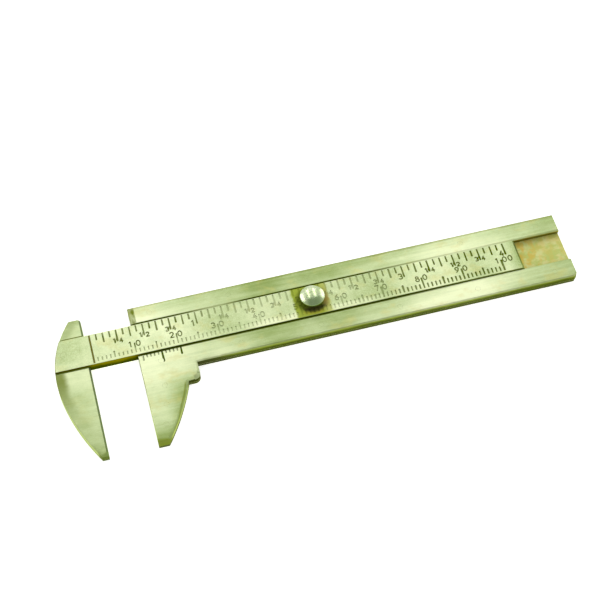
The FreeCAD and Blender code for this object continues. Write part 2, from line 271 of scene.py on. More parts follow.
# Smooth faces with sharp edges, and a word if the mesh has a gap.
def soften(mesh):
    shape = bmesh.new()
    shape.from_mesh(mesh)
    gaps = 0
    for face in shape.faces:
        face.smooth = True
    for edge in shape.edges:
        edge.smooth = len(edge.link_faces) == 2 and edge.calc_face_angle(0) < welding["sharpAngle"]
        gaps += len(edge.link_faces) != 2
    if gaps:
        print(mesh.name, "has", gaps, "open or shared edges")
    shape.to_mesh(mesh)
    shape.free()


# Cut a closed soup of faces out of a piece.
def carve(piece, soup):
    shape = bmesh.new()
    for face in soup:
        shape.faces.new([shape.verts.new(Vector(point) * mm) for point in face])
    bmesh.ops.remove_doubles(shape, verts=shape.verts, dist=welding["cutterReach"])
    bmesh.ops.recalc_face_normals(shape, faces=shape.faces)
    mesh = bpy.data.meshes.new("cutter")
    shape.to_mesh(mesh)
    shape.free()
    cutter = bpy.data.objects.new("cutter", mesh)
    bpy.context.scene.collection.objects.link(cutter)
    modifier = piece.modifiers.new("cut", "BOOLEAN")
    modifier.operation = "DIFFERENCE"
    modifier.solver = "EXACT"
    modifier.object = cutter
    bpy.context.view_layer.update()
    graph = bpy.context.evaluated_depsgraph_get()
    result = bpy.data.meshes.new_from_object(piece.evaluated_get(graph))
    piece.modifiers.clear()
    old = piece.data
    piece.data = result
    result.name = piece.name
    bpy.data.meshes.remove(old)
    bpy.data.objects.remove(cutter)


def rectangle(left, right, middle, width):
    low, high = middle - width / 2, middle + width / 2
    return [(left, low), (right, low), (right, high), (left, high)]


def circle(x, y, radius, steps=32):
    turns = [2 * math.pi * k / steps for k in range(steps)]
    return [(x + radius * math.cos(t), y + radius * math.sin(t)) for t in turns]


# shader expressions


# A shader socket that Python's operators work on.
class Wire:
    def __init__(self, shade, socket):
        self.shade = shade
        self.socket = socket

    def maths(self, operation, first, second):
        return self.shade.add("Math", {"operation": operation}, {0: first, 1: second})

    def __add__(self, other):
        return self.maths("ADD", self, other)

    def __radd__(self, other):
        return self.maths("ADD", other, self)

    def __sub__(self, other):
        return self.maths("SUBTRACT", self, other)

    def __rsub__(self, other):
        return self.maths("SUBTRACT", other, self)

    def __mul__(self, other):
        return self.maths("MULTIPLY", self, other)

    def __rmul__(self, other):
        return self.maths("MULTIPLY", other, self)

    def __abs__(self):
        return self.maths("ABSOLUTE", self, 0.0)


# One node tree; add makes a node, sets it up and hands back one of its outputs.
class Shade:
    def __init__(self, tree):
        self.tree = tree
        tree.nodes.clear()

    def add(self, kind, settings, sockets, out=0):
        node = self.tree.nodes.new("ShaderNode" + kind)
        for name, value in settings.items():
            if name == "stops":
                self.setStops(node.color_ramp, value)
            elif name == "curve":
                node.color_ramp.interpolation = value
            else:
                setattr(node, name, value)
        for name, value in sockets.items():
            if isinstance(value, Wire):
                self.tree.links.new(value.socket, node.inputs[name])
            else:
                node.inputs[name].default_value = value
        return Wire(self, node.outputs[out]) if len(node.outputs) else None

    def setStops(self, ramp, stops):
        while len(ramp.elements) < len(stops):
            ramp.elements.new(0.5)
        for element, (place, value) in zip(ramp.elements, stops):
            element.position = place
            element.color = value if len(value) == 4 else (*value, 1)

    # 0 below low and 1 above high, or the other way round, with a soft ramp between.
    def step(self, value, low, high):
        settings = {"interpolation_type": "SMOOTHSTEP"}
        ends = {"Value": value, "From Min": low, "From Max": high, "To Min": 0.0, "To Max": 1.0}
        if low > high:
            ends.update({"From Min": high, "From Max": low, "To Min": 1.0, "To Max": 0.0})
        return self.add("MapRange", settings, ends)

    # A smooth curve through (value, result) pairs.
    def profile(self, value, pairs):
        first, last = pairs[0][0], pairs[-1][0]
        stops = [((place - first) / (last - first), (level,) * 3) for place, level in pairs]
        settings = {"curve": "CARDINAL", "stops": stops}
        return self.add("ValToRGB", settings, {0: (value - first) * (1 / (last - first))}) * 1.0

    # The largest of some masks.
    def greatest(self, first, *others):
        for other in others:
            first = self.add("Math", {"operation": "MAXIMUM"}, {0: first, 1: other})
        return first

    def point(self, x, y, z=0.0):
        return self.add("CombineXYZ", {}, {0: x, 1: y, 2: z})

    def distance(self, point, centre):
        return self.add("VectorMath", {"operation": "DISTANCE"}, {0: point, 1: centre}, out=1)

    # Smooth noise about 0.5; scale is in bumps for each millimetre along x, y and z.
    def noise(self, vector, scale, detail, roughness, seed):
        scaled = self.add("VectorMath", {"operation": "MULTIPLY"}, {0: vector, 1: scale})
        placed = self.add("VectorMath", {"operation": "ADD"}, {0: scaled, 1: (seed, seed, seed)})
        sockets = {"Vector": placed, "Scale": 1.0, "Detail": detail, "Roughness": roughness}
        return self.add("TexNoise", {}, sockets)

    # A colour: under where the mask is 0 and over where it is 1.
    def mix(self, mask, under, over):
        return self.add("Mix", {"data_type": "RGBA"}, {0: mask, 6: under, 7: over}, out=2)

    # Position in the piece's own frame in millimetres: the vector, and its x, y and z.
    def places(self):
        space = self.add("TexCoord", {}, {}, out=3)
        point = self.add("VectorMath", {"operation": "SCALE"}, {0: space, "Scale": 1 / mm})
        return point, [self.add("SeparateXYZ", {}, {0: point}, out=k) for k in range(3)]

    # Which way the surface faces: 1 to the front, 0 to a side, -1 to the back.
    def facing(self):
        normal = self.add("TexCoord", {}, {}, out=1)
        return self.add("SeparateXYZ", {}, {0: normal}, out=2)

    def finish(self, sockets):
        surface = self.add("BsdfPrincipled", {}, sockets)
        self.add("OutputMaterial", {}, {"Surface": surface})


def newMaterial(name):
    made = bpy.data.materials.new(name)
    made.use_nodes = True
    return made, Shade(made.node_tree)


# A colour given as it looks on a screen, 0 to 255, made linear.
def tone(red, green, blue):
    values = [value / 255 for value in (red, green, blue)]
    linear = [v / 12.92 if v < 0.04045 else ((v + 0.055) / 1.055) ** 2.4 for v in values]
    return (*linear, 1.0)


metalTones = {
    "yellow": tone(212, 204, 120),
    "glance": tone(232, 238, 184),    # what a glancing look at it shows
    "olive": tone(124, 138, 44),      # tarnish on edges
    "edge": tone(92, 112, 66),        # grey-green on a worn measuring edge
    "cornerDark": tone(62, 74, 2),          # dirt and painted shade in corners
    "seam": tone(98, 114, 6),         # dark lines along the joints
    "ink": tone(84, 100, 0),          # what the stamped marks hold
}
# brass from freshly rubbed at 0 to dull at 1
brassTones = [
    (0.0, tone(240, 248, 202)),
    (0.35, tone(202, 217, 163)),
    (0.65, tone(158, 178, 110)),
    (1.0, tone(112, 128, 46)),
]
brassLook = {
    "brush": None,                    # bumps of each noise for each millimetre along x, y and z
    "seed": 1.0,
    "tarnish": None,                  # how dull it is over x, y and z
    "streaks": 0.34,
    "hairs": 0.24,
    "clouds": 0.38,
    "cloudScale": (0.13, 0.22, 0.2),
    "grain": 0.12,
    "grainScale": (3.2, 3.2, 3.2),
    "warm": 0.34,                     # how yellow its warmer clouds are
    "warmScale": (0.22, 0.3, 0.3),
    "side": 0.95,                     # how far the walls take their tarnish and painted shade
    "wallTarnishAndShadeTones": (tone(142, 156, 70), tone(66, 76, 10)),
    "sideLevels": (2.1, 0.6),         # heights of those two tones
    "sidePatch": None,                # a mask and a third tone for part of the walls
    "stainAndShade": None,                    # a mask and a colour that lie over the face: stains, and painted shade on some pieces
    "stainDull": 0.3,                 # how far a stain hides the metal
    "ink": None,                      # a mask and a colour for the stamped marks
    # how far and how strongly ambient occlusion darkens corners: partly dirt, partly painted shade
    "cornerDarkReach": 0.5,
    "cornerDirtAndShade": 0.6,
    "rough": 0.37,
    "bumpHeight": 0.012,
    "specular": 0.05,
}
brushNoise = {                        # detail, roughness and seed
    "hair": (3.0, 0.62, 3.1),
    "scratch": (2.0, 0.5, 11.7),
    "streak": (3.0, 0.55, 5.3),
}


# Brushed, handled brass. look says how it is rubbed, toned and worn.
def metalMaterial(name, look):
    made, shade = newMaterial(name)
    point, (x, y, z) = shade.places()
    facing = shade.facing()
    front = shade.step(facing, 0.25, 0.6)
    wall = shade.step(abs(facing), 0.6, 0.25)
    hair, scratch, streak = [
        shade.noise(point, look["brush"][kind], *settings) for kind, settings in brushNoise.items()]
    cloud = shade.noise(point, look["cloudScale"], 3.0, 0.55, look["seed"])
    warmth = shade.noise(point, look["warmScale"], 3.0, 0.6, look["seed"] + 40.0)
    grain = shade.noise(point, look["grainScale"], 2.0, 0.6, 23.0)
    scored = shade.step(scratch, 0.63, 0.72)
    age = look["tarnish"](shade, x, y, z) + scored * 0.06
    age = age + (streak - 0.5) * look["streaks"] + (hair - 0.5) * look["hairs"]
    age = age + (cloud - 0.5) * look["clouds"] + (grain - 0.5) * look["grain"]
    colour = shade.add("ValToRGB", {"stops": brassTones}, {0: age})
    colour = shade.mix(shade.step(warmth, 0.5, 0.72) * look["warm"], colour, metalTones["yellow"])
    stainAndShade = 0.0
    if look["stainAndShade"] is not None:
        mask, over = look["stainAndShade"](shade, x, y, z)
        stainAndShade = mask * front
        colour = shade.mix(stainAndShade, colour, over)
    # walls: tarnish with painted shade, darker towards the back where they meet the floor
    upper, lower = look["wallTarnishAndShadeTones"]
    high, low = look["sideLevels"]
    depth = shade.step(z + (cloud - 0.5) * 1.6 + (streak - 0.5) * 0.8, high, low)
    wallTarnishAndShade = shade.mix(depth, upper, lower)
    if look["sidePatch"] is not None:
        mask, over = look["sidePatch"](shade, x, y, z)
        wallTarnishAndShade = shade.mix(mask, wallTarnishAndShade, over)
    side = wall * look["side"]
    colour = shade.mix(side, colour, wallTarnishAndShade)
    # dirt that gathers in corners, with painted shade: darker where ambient occlusion finds a corner
    reach = {"Distance": look["cornerDarkReach"] * mm}
    exposed = shade.add("AmbientOcclusion", {"samples": 6}, reach, out=1)
    cornerDirtAndShade = shade.step(exposed + (cloud - 0.5) * 0.25, 0.58, 0.25) * look["cornerDirtAndShade"]
    colour = shade.mix(cornerDirtAndShade, colour, metalTones["cornerDark"])
    if look["ink"] is not None:
        mask, over = look["ink"](shade, x, y, z)
        colour = shade.mix(mask, colour, over)
    wear = look["rough"] + (hair - 0.5) * 0.22 + scored * 0.12 + side * 0.12 + cornerDirtAndShade * 0.2
    bump = shade.add("Bump", {}, {
        "Height": hair * 0.55 + scored * -0.8 + grain * 0.25,
        "Distance": look["bumpHeight"] * mm,
        "Strength": 0.45,
    })
    shade.finish({
        "Base Color": colour,
        "Roughness": wear + stainAndShade * (look["stainDull"] * 0.4),
        "Metallic": 1 - shade.greatest(cornerDirtAndShade * 0.7, stainAndShade * look["stainDull"]),
        "Specular IOR Level": look["specular"],
        "Specular Tint": metalTones["glance"],
        "Normal": bump,
    })
    return made


alongX = {
    "hair": (0.9, 16.0, 16.0),
    "scratch": (0.35, 22.0, 10.0),
    "streak": (0.05, 1.1, 1.1),
}


# A dark line along the slot's edges.
def slotEdgeLine(shade, y, reach, thinner=0.0):
    middle = body["slotLow"] / 2
    return shade.step(abs(y + middle) - body["slotMouth"] - middle + thinner, reach, reach * 0.7)


# Within a piece's stamped marks: how deep the ink starts and is full, ends and is last full.
def withinMarks(shade, z, face, depths):
    start, full, end, last = [face - depth for depth in depths]
    return shade.step(z, start, full) * shade.step(z, end, last)


print("kit ready")

# the bar with its two scales

bar = {
    "endChamfer": 0.45,
    "longRound": 0.1,
    "crescentRadius": 27.0,
    "crescentDrop": 6.85,         # bar's centre line down to the crescent's furthest point
    "crescentRound": (0.25, 0.2),
    "crescentSteps": 24,
    "grooveStart": 3.3,           # stop groove, from the moving jaw's face
    "grooveStop": 12.6,           # how much shorter it is than the bar
    "grooveWidth": 1.5,
    "grooveDepth": 0.6,
    "grooveMiddle": 2.5,
    "recessLength": 12.0,
    "recessWidth": 2.8,
    "recessDepth": 0.7,
    "recessInset": 1.4,
    "recessMiddle": -1.3,
    "seatRadius": 1.35,           # where the button's shank is hammered out
    "seatDepth": 0.35,
    "shankRadius": 1.0,
    "holeJoin": 1.0,              # height above its foot where the two ends of a hole meet
    "pinRadius": 0.75,
    "pinInset": 2.3,
    "pinPitch": 3.2,
    "markDepth": 0.1,
    "visibleHalf": 4.17,          # half its width at the shoulders, which nearly fill the slot
}
crescentCentre = slide["jawFace"] + bar["crescentRadius"] - (headHigh.x - headLow.x)
scale = {
    "millimetres": 100,
    "inch": 25.4,
    "sixteenths": 64,
    "inchTop": 3.93,              # inch marks hang from here
    "inchLengths": {1: 1.8, 2: 2.75, 4: 3.4, 16: 3.4},
    "inchWidth": 0.44,
    "mmFoot": (-3.62, -3.84),     # foot of the millimetre marks, at zero and at 100
    "mmTops": {1: (-2.62, -2.38), 5: (-1.78, -1.6), 10: (-0.85, -0.55)},
    "mmWidth": (0.3, 0.45),
    "zeroWidth": 0.46,
    "edgeGap": 0.13,              # how far the zero line stops short of the bar's shoulders
    "wobble": 0.05,               # unevenness of hand-stamped marks
    "figureSpread": 0.72,         # from figure to figure, as a share of their height
    "inchLift": 0.2,              # how far the inch figures rise from zero to 4
    "mmLift": 0.5,
    # x and y of a figure from its mark and the centre line, its height and its pen's width
    "inchFigure": (-0.85, 0.1, 1.5, 0.3),
    "fractionTop": (-0.72, 0.3, 1.15, 0.3),
    "fractionBar": (-0.27, 0.22, 1.2, 0.18),
    "fractionFoot": (0.88, 0.12, 1.15, 0.3),
    "mmTens": (-0.98, -1.92, 1.45, 0.28),
    "mmUnits": (0.95, -1.92, 1.45, 0.28),
    "mmLast": (2.3, -1.92, 1.45, 0.28),
    "fractions": {1: "14", 2: "12", 3: "34"},
}
dice = random.Random(41)


# The crescent's outer edge at a height across the bar.
def crescentX(y):
    return crescentCentre - math.sqrt(bar["crescentRadius"] ** 2 - (y + bar["crescentDrop"]) ** 2)


def barOutline(low, high):
    steps = bar["crescentSteps"]
    corners = [(slide["end"], -low), (slide["end"], high)]
    names = [("end", 0.5), ("long", 0.5)]
    for k in range(steps + 1):
        y = high - (low + high) * k / steps
        corners.append((crescentX(y), y))
        names.append(("crescent", 0.5) if k < steps else ("long", 0.5))
    return corners, names


# A stamped line: slimmer at its foot, with a rounded tip at its top.
def mark(x, foot, top, width, slim=0.8):
    half = width / 2
    lean = dice.uniform(-1, 1) * scale["wobble"] * 0.6
    tip = 1 if top > foot else -1
    points = [(x - half * slim, foot), (x + half * slim, foot)]
    for k in range(7):
        turn = math.pi * k / 6
        points.append((x + lean + half * math.cos(turn), top - tip * half * (1 - math.sin(turn))))
    return points


# Points on an ellipse, in degrees.
def bow(cx, cy, rx, ry, start, end, steps):
    turns = [math.radians(start + (end - start) * k / steps) for k in range(steps + 1)]
    return [(cx + rx * math.cos(t), cy + ry * math.sin(t)) for t in turns]


# numerals as pen strokes in a box 0.62 wide and 1 high
figures = {
    "0": [bow(0.31, 0.5, 0.31, 0.5, 90, 450, 12)],
    "1": [[(0.16, 0.8), (0.36, 1.0), (0.36, 0.0)]],
    "2": [bow(0.31, 0.73, 0.27, 0.27, 165, -35, 7) + [(0.04, 0.0), (0.6, 0.0)]],
    "3": [bow(0.28, 0.75, 0.27, 0.25, 145, -80, 7), bow(0.28, 0.26, 0.3, 0.26, 80, -145, 7)],
    "4": [[(0.42, 1.0), (0.02, 0.33), (0.62, 0.33)], [(0.44, 0.62), (0.44, 0.0)]],
    "5": [[(0.54, 1.0), (0.12, 1.0), (0.1, 0.56)], bow(0.28, 0.31, 0.3, 0.31, 130, -140, 8)],
    "6": [[(0.5, 1.0), (0.2, 0.72), (0.05, 0.38)], bow(0.32, 0.3, 0.27, 0.3, 170, 545, 13)],
    "7": [[(0.03, 1.0), (0.6, 1.0), (0.24, 0.0)]],
    "8": [bow(0.31, 0.76, 0.22, 0.23, -90, 275, 12), bow(0.31, 0.27, 0.29, 0.27, 90, 455, 12)],
    "9": [[(0.12, 0.0), (0.42, 0.28), (0.57, 0.62)], bow(0.3, 0.7, 0.27, 0.3, -10, 365, 13)],
    "/": [[(0.1, 0.0), (0.4, 1.0)]],
}


# The short strips that make up a pen line through some points.
def penStroke(points, width):
    strips = []
    for here, there in zip(points, points[1:]):
        a, b = Vector(here), Vector(there)
        way = (b - a).normalized()
        aside = Vector((-way.y, way.x)) * width / 2
        a, b = a - way * width * 0.3, b + way * width * 0.3
        strips.append([tuple(a - aside), tuple(b - aside), tuple(b + aside), tuple(a + aside)])
    return strips


# A figure beside the mark at x; place is one of the places in the scale.
def number(text, x, lift, place):
    aside, foot, height, pen = place
    strokes = []
    wide = height * scale["figureSpread"]
    for index, letter in enumerate(text):
        left = x + aside + (index - len(text) / 2) * wide + dice.uniform(-1, 1) * scale["wobble"]
        up = foot + lift + dice.uniform(-1, 1) * scale["wobble"]
        for line in figures[letter]:
            strokes += penStroke([(left + px * height, up + py * height) for px, py in line], pen)
    return strokes


def blend(pair, along):
    return pair[0] + (pair[1] - pair[0]) * along


def inchMarks():
    marks = []
    top = scale["inchTop"]
    for step in range(1, scale["sixteenths"] + 1):
        x = slide["zero"] + step * scale["inch"] / 16
        kind = max(k for k in scale["inchLengths"] if step % k == 0)
        length = scale["inchLengths"][kind] + dice.uniform(-1, 1) * scale["wobble"]
        marks.append(mark(x, top, top - length, scale["inchWidth"] * dice.uniform(0.88, 1.12)))
        lift = scale["inchLift"] * step / scale["sixteenths"]
        if kind == 16:
            marks += number(str(step // 16), x, lift, scale["inchFigure"])
        elif kind == 4:
            above, below = scale["fractions"][step // 4 % 4]
            marks += number(above, x, lift, scale["fractionTop"])
            marks += number("/", x, lift, scale["fractionBar"])
            marks += number(below, x, lift, scale["fractionFoot"])
    return marks


def millimetreMarks():
    marks = []
    for step in range(1, scale["millimetres"] + 1):
        along = step / scale["millimetres"]
        x = slide["zero"] + step
        kind = max(k for k in scale["mmTops"] if step % k == 0)
        top = blend(scale["mmTops"][kind], along) + dice.uniform(-1, 1) * scale["wobble"]
        width = blend(scale["mmWidth"], along) * (dice.uniform(0.85, 1.15) * (1.15 if kind > 1 else 1.0))
        marks.append(mark(x, blend(scale["mmFoot"], along), top, width))
        if kind == 10:
            lift = scale["mmLift"] * along
            marks += number(str(step // 10)[0], x, lift, scale["mmTens"])
            marks += number("0", x, lift, scale["mmUnits"])
            if step == 100:
                marks += number("0", x, lift, scale["mmLast"])
    return marks


# Every mark on the bar's face, as outlines.
def scaleMarks():
    reach = slide["half"] - scale["edgeGap"]
    low, high = -reach - body["slotLow"], reach
    middle, tall = (low + high) / 2, high - low
    half = scale["zeroWidth"] / 2
    zeroLine = rectangle(slide["zero"] - half, slide["zero"] + half, middle, tall)
    return [zeroLine] + inchMarks() + millimetreMarks()


# how the bar is worn over x, and the tones of its walls
barWear = {
    "dull": [
        (-21, 0.3), (-18, 0.38), (-12.5, 0.3), (-8, 0.2), (2, 0.14), (9, 0.16), (17, 0.36),
        (22, 0.42), (28, 0.3), (36, 0.28), (48, 0.36), (56, 0.5), (63, 0.34), (74, 0.18),
        (81, 0.38), (86, 0.38), (90, 0.26), (94, 0.62)],
    "rubbed": [(-21, 0.04), (20, 0.06), (33, 0.26), (52, 0.26), (63, 0.0), (94, 0.0)],
    "upperInk": [(-12, 0.8), (8, 0.82), (14, 0.64), (20, 0.34), (56, 0.4), (64, 0.8), (90, 0.92)],
    "lowerInk": [
        (-12, 0.5), (8, 0.5), (20, 0.24), (56, 0.34), (64, 0.7), (72, 0.82), (90, 0.84)],
    "inkDepths": (0.02, 0.05, 0.16, 0.13),
    "zeroInk": tone(104, 100, 30),
    "patchHalf": 4.6,             # the unpolished square round the button
    "patchFull": 3.9,
    "patchShift": 0.3,
    # tarnish and painted shade on the bar's walls inside the slot's gap
    "slotWall": tone(88, 102, 14),
    "farWall": tone(128, 142, 66),
    "endWall": tone(186, 196, 116),
}
patchTones = {
    "left": tone(180, 198, 66),
    "right": tone(206, 212, 90),
    "nearLeft": tone(108, 124, 2),
    "nearRight": tone(164, 132, 22),
    "low": tone(206, 190, 16),
    "rust": tone(190, 124, 26),
    "under": tone(60, 46, 0),
}


def barTarnish(shade, x, y, z):
    rubbed = shade.profile(x, barWear["rubbed"])
    return 0.0 - shade.step(y, -2.4, -3.3) * rubbed + shade.profile(x, barWear["dull"])


# The unpolished square round the button, darkest close to its neck, with rusty smears and a painted
# shadow just below the button.
def barStainAndShadow(shade, x, y, z):
    point = shade.point(x, y, z)
    blotch = shade.noise(point, (0.5, 0.5, 0.5), 3.0, 0.6, 8.0)
    fine = shade.noise(point, (1.6, 0.9, 1.0), 3.0, 0.6, 15.0)
    away = shade.distance(point, (slide["buttonX"], 0.0, slide["face"]))
    near = shade.step(away + (blotch - 0.5) * 1.6, 4.7, 3.0)
    right = shade.step(x, slide["buttonX"] + 1.5, slide["buttonX"] + 3.6)
    dull = shade.mix(right, patchTones["left"], patchTones["right"])
    close = shade.mix(right, patchTones["nearLeft"], patchTones["nearRight"])
    # painted shadow: a near-black brown crescent just below the button
    under = shade.step(away, 4.0, 3.3) * shade.step(y, -1.6, -2.4)
    low = shade.step(y + (fine - 0.5) * 1.4, -2.7, -3.5)
    close = shade.mix(low, close, patchTones["low"])
    rust = shade.step(fine, 0.5, 0.64) * right * shade.step(y, 2.6, -1.4)
    close = shade.mix(rust * 0.8, close, patchTones["rust"])
    close = shade.mix(under * 0.9, close, patchTones["under"])
    aside = abs(x - slide["buttonX"] + barWear["patchShift"]) + (fine - 0.5) * 1.2
    square = shade.step(aside, barWear["patchHalf"], barWear["patchFull"])
    return square * (0.95 - right * 0.25), shade.mix(near, dull, close)


# What fills the stamped marks: most where the scale is least handled.
def barInk(shade, x, y, z):
    patchy = shade.noise(shade.point(x, y), (0.6, 0.6, 0.0), 3.0, 0.6, 2.0)
    upper = shade.profile(x, barWear["upperInk"])
    lower = shade.profile(x, barWear["lowerInk"])
    figure = shade.step(abs(y + 1.0), 1.3, 0.9) * shade.step(x, 24.0, 12.0) * 0.35
    level = upper + (lower - upper) * shade.step(y, -0.2, -0.8) + figure
    aside = abs(x - slide["buttonX"])
    outside = shade.step(aside, barWear["patchFull"], barWear["patchHalf"])
    zero = shade.step(x, slide["zero"] + 0.5, slide["zero"] + 0.3)
    tint = shade.mix(zero * 0.85, metalTones["ink"], barWear["zeroInk"])
    level = shade.greatest(level + 0.06 + (patchy - 0.5) * 0.6, zero * 0.95)
    deep = withinMarks(shade, z, slide["face"], barWear["inkDepths"])
    return deep * level * (0.25 + outside * 0.75), tint


# Its walls are darkest inside the slot, tarnish with painted shade of the gap beside the rails, and its
# far end is rubbed pale.
def barSide(shade, x, y, z):
    end = shade.step(x, slide["end"] - 0.6, slide["end"] - 0.4)
    slotWallShade = shade.mix(shade.step(x, 58.0, 84.0), barWear["slotWall"], barWear["farWall"])
    inSlot = shade.step(x, -1.0, 1.0)
    return shade.greatest(end, inSlot), shade.mix(end, slotWallShade, barWear["endWall"])


barLook = dict(
    brassLook,
    brush={"hair": (9.0, 7.0, 9.0), "scratch": (0.5, 20.0, 9.0), "streak": (0.5, 0.16, 0.5)},
    seed=14.0,
    tarnish=barTarnish,
    streaks=0.25,
    hairs=0.25,
    grain=0.35,
    warm=0.3,
    stainAndShade=barStainAndShadow,
    stainDull=0.75,
    ink=barInk,
    side=1.0,
    wallTarnishAndShadeTones=(tone(128, 120, 2), tone(58, 68, 0)),
    sideLevels=(2.6, 1.5),
    sidePatch=barSide,
    clouds=0.5,
    cornerDirtAndShade=0.5,
)


def pinHoles():
    radius = bar["pinRadius"] + body["ringGap"]
    places = [slide["jawFace"] - bar["pinInset"] - step * bar["pinPitch"] for step in range(2)]
    return [(circle(x, 0, radius), None) for x in places]


def makeBar():
    soup = []
    footHalf = slide["foot"] - body["ringGap"]
    foot, names = barOutline(footHalf, footHalf)
    shoulder, _ = barOutline(bar["visibleHalf"] + body["slotLow"], bar["visibleHalf"])
    bevels = {
        "end": chamfer(bar["endChamfer"]),
        "long": rounded(bar["longRound"]),
        "crescent": rounded(*bar["crescentRound"]),
    }
    rings = [[(x, y, slide["floor"]) for x, y in foot]]
    rings += edgeRings(shoulder, names, slide["face"], bevels, 1, 4)
    bands(soup, rings)
    joinZ = slide["floor"] + bar["holeJoin"]
    shank = (circle(slide["buttonX"], 0, bar["shankRadius"] + body["ringGap"]), None)
    holes = pinHoles() + [shank]
    marks = [(outline, bar["markDepth"]) for outline in scaleMarks()]
    cap(soup, flat(rings[-1]), slide["face"], 1, holes + marks, joinZ)
    left = slide["jawFace"] + bar["grooveStart"]
    right = left + slide["end"] - slide["jawFace"] - bar["grooveStop"]
    groove = rectangle(left, right, bar["grooveMiddle"], bar["grooveWidth"])
    right = slide["end"] - bar["recessInset"]
    left = right - bar["recessLength"]
    recess = rectangle(left, right, bar["recessMiddle"], bar["recessWidth"])
    seat = circle(slide["buttonX"], 0, bar["seatRadius"] + body["ringGap"])
    under = [(groove, bar["grooveDepth"]), (recess, bar["recessDepth"]), (seat, bar["seatDepth"])]
    cap(soup, foot, slide["floor"], -1, holes + under, joinZ)
    material = metalMaterial("barBrass", barLook)
    finishMesh("engravedBar", soup, material, "slide", "slide_bar")


makeBar()
print("bar engraved")

# the head: nib and moving jaw

head = {
    "tipWidth": 1.6,
    "flankTurn": 10.5,            # degrees past the furthest point where the flatter flank starts
    "nibCorner": 0.9,
    "nibRound": (0.25, 0.2),
    "measuringChamfer": 0.4,
    "crescentRound": 0.16,
    "tipBevel": 0.55,
    "backRound": 0.15,
    "seamGap": 0.03,
    "holeJoin": 1.0,
    "cutBeyond": 2.0,             # how far the cutter of its channel stands out at each end
}
headWear = {
    "dull": [                     # over y
        (-29, 0.66), (-26, 0.5), (-22, 0.38), (-16, 0.46), (-12, 0.41), (-6, 0.24), (0, 0.3),
        (6, 0.42), (9.5, 0.55)],
    "olive": [
        (-29, 0.1), (-20, 0.12), (-15, 0.28), (-10, 0.66), (-5, 0.8), (-4, 0.2), (9.5, 0.3)],
    "tipSeam": tone(134, 158, 84),
    "tipSideShade": tone(72, 88, 22),
}


# Anticlockwise from the jaw's tip, up the measuring edge, round the nib and down the crescent.
def headOutline():
    radius, drop = bar["crescentRadius"], bar["crescentDrop"]
    face = slide["jawFace"]
    turn = math.radians(head["flankTurn"])
    flank = (crescentCentre - radius * math.cos(turn), -drop - radius * math.sin(turn))
    run = face - head["tipWidth"] - flank[0]
    fall = flank[1] - body["tip"]
    lean = run * math.cos(turn) - fall * math.sin(turn)
    flankRadius = (run ** 2 + fall ** 2) / (2 * lean)
    return trace([
        (face - head["tipWidth"], body["tip"], 0, 1, "tip"),
        (face, body["tip"], 0, 1, "measuring"),
        (face, body["top"] - head["nibCorner"], head["nibCorner"], 8, "nib"),
        (face - head["nibCorner"], body["top"], 0, 1, "nib"),
        (crescentX(body["top"]), body["top"], radius, 44, "crescent"),
        (*flank, flankRadius, 24, "crescent"),
    ])


# Bright beside the measuring edge, dull towards the crescent's edge and the tip.
def headTarnish(shade, x, y, z):
    down = shade.profile(y, headWear["dull"])
    return down - shade.step(x, slide["jawFace"] - 3.5, slide["jawFace"] - 1.0) * 0.06


# Olive that fades in from the crescent's edge, tarnish and painted shade at the tip, a grey measuring
# edge, dark lines along the bar.
def headStainAndShade(shade, x, y, z):
    point = shade.point(x, y)
    soft = shade.noise(point, (0.25, 0.35, 0.0), 3.0, 0.6, 4.0)
    away = shade.distance(point, (crescentCentre, -bar["crescentDrop"], 0.0))
    inside = away + (soft - 0.5) * 1.6 - bar["crescentRadius"]
    rim = shade.step(inside, -3.0, -1.2) * shade.profile(y, headWear["olive"])
    # tarnish and painted shade on the tip's facet
    tip = shade.step(y + (slide["jawFace"] - x) * 0.5, -27.3, -28.2) * 0.9
    measuring = shade.step(x, slide["jawFace"] - 0.46, slide["jawFace"] - 0.4)
    middle = body["slotLow"] / 2
    fromSeam = abs(abs(y + middle) - slide["half"] - middle - 0.32)
    seam = shade.step(fromSeam, 0.3, 0.2)
    colour = shade.mix(measuring, metalTones["olive"], metalTones["edge"])
    colour = shade.mix(seam, shade.mix(tip, colour, headWear["tipSeam"]), metalTones["seam"])
    return shade.greatest(rim, tip, measuring * 0.85, seam * 0.95), colour


# tarnish and painted shade on the walls at the tip
def headSide(shade, x, y, z):
    return shade.step(y, -27.0, -28.4), headWear["tipSideShade"]


headLook = dict(
    brassLook,
    brush={"hair": (0.9, 15.0, 15.0), "scratch": (0.35, 22.0, 10.0), "streak": (0.12, 0.5, 1.0)},
    seed=31.0,
    tarnish=headTarnish,
    streaks=0.22,
    warm=0.12,
    stainAndShade=headStainAndShade,
    side=0.85,
    wallTarnishAndShadeTones=(tone(178, 192, 128), tone(144, 158, 88)),
    sideLevels=(0.9, -0.3),
    sidePatch=headSide,
)


def makeHead():
    outline, names = headOutline()
    frontBevels = {
        "tip": chamfer(head["tipBevel"]),
        "measuring": chamfer(head["measuringChamfer"]),
        "nib": rounded(*head["nibRound"]),
        "crescent": rounded(head["crescentRound"]),
    }
    behind = (outline, 0.0, {"rest": rounded(head["backRound"])}, 3)
    before = (outline, body["face"], frontBevels, 5)
    soup = slab(names, behind, before, head["holeJoin"], pinHoles())
    # the channel that the bar is let into
    foot = slide["foot"] + head["seamGap"]
    lean = (slide["foot"] - slide["half"]) / (slide["face"] - slide["floor"])
    above = body["face"] + 1.0
    mouth = foot - (above - slide["floor"]) * lean
    section = [(-foot, slide["floor"]), (foot, slide["floor"]), (mouth, above), (-mouth, above)]
    ends = [headLow.x - head["cutBeyond"], headHigh.x + head["cutBeyond"]]
    rings = [[(x, y, z) for y, z in section] for x in ends]
    channel = [rings[0][::-1], rings[1]]
    bands(channel, rings)
    material = metalMaterial("headBrass", headLook)
    finishMesh("crescentHead", soup, material, "slide", "slide_head", [channel])


makeHead()
print("head shaped")

# the fixed part: jaw with lower rail, upper rail, back plate

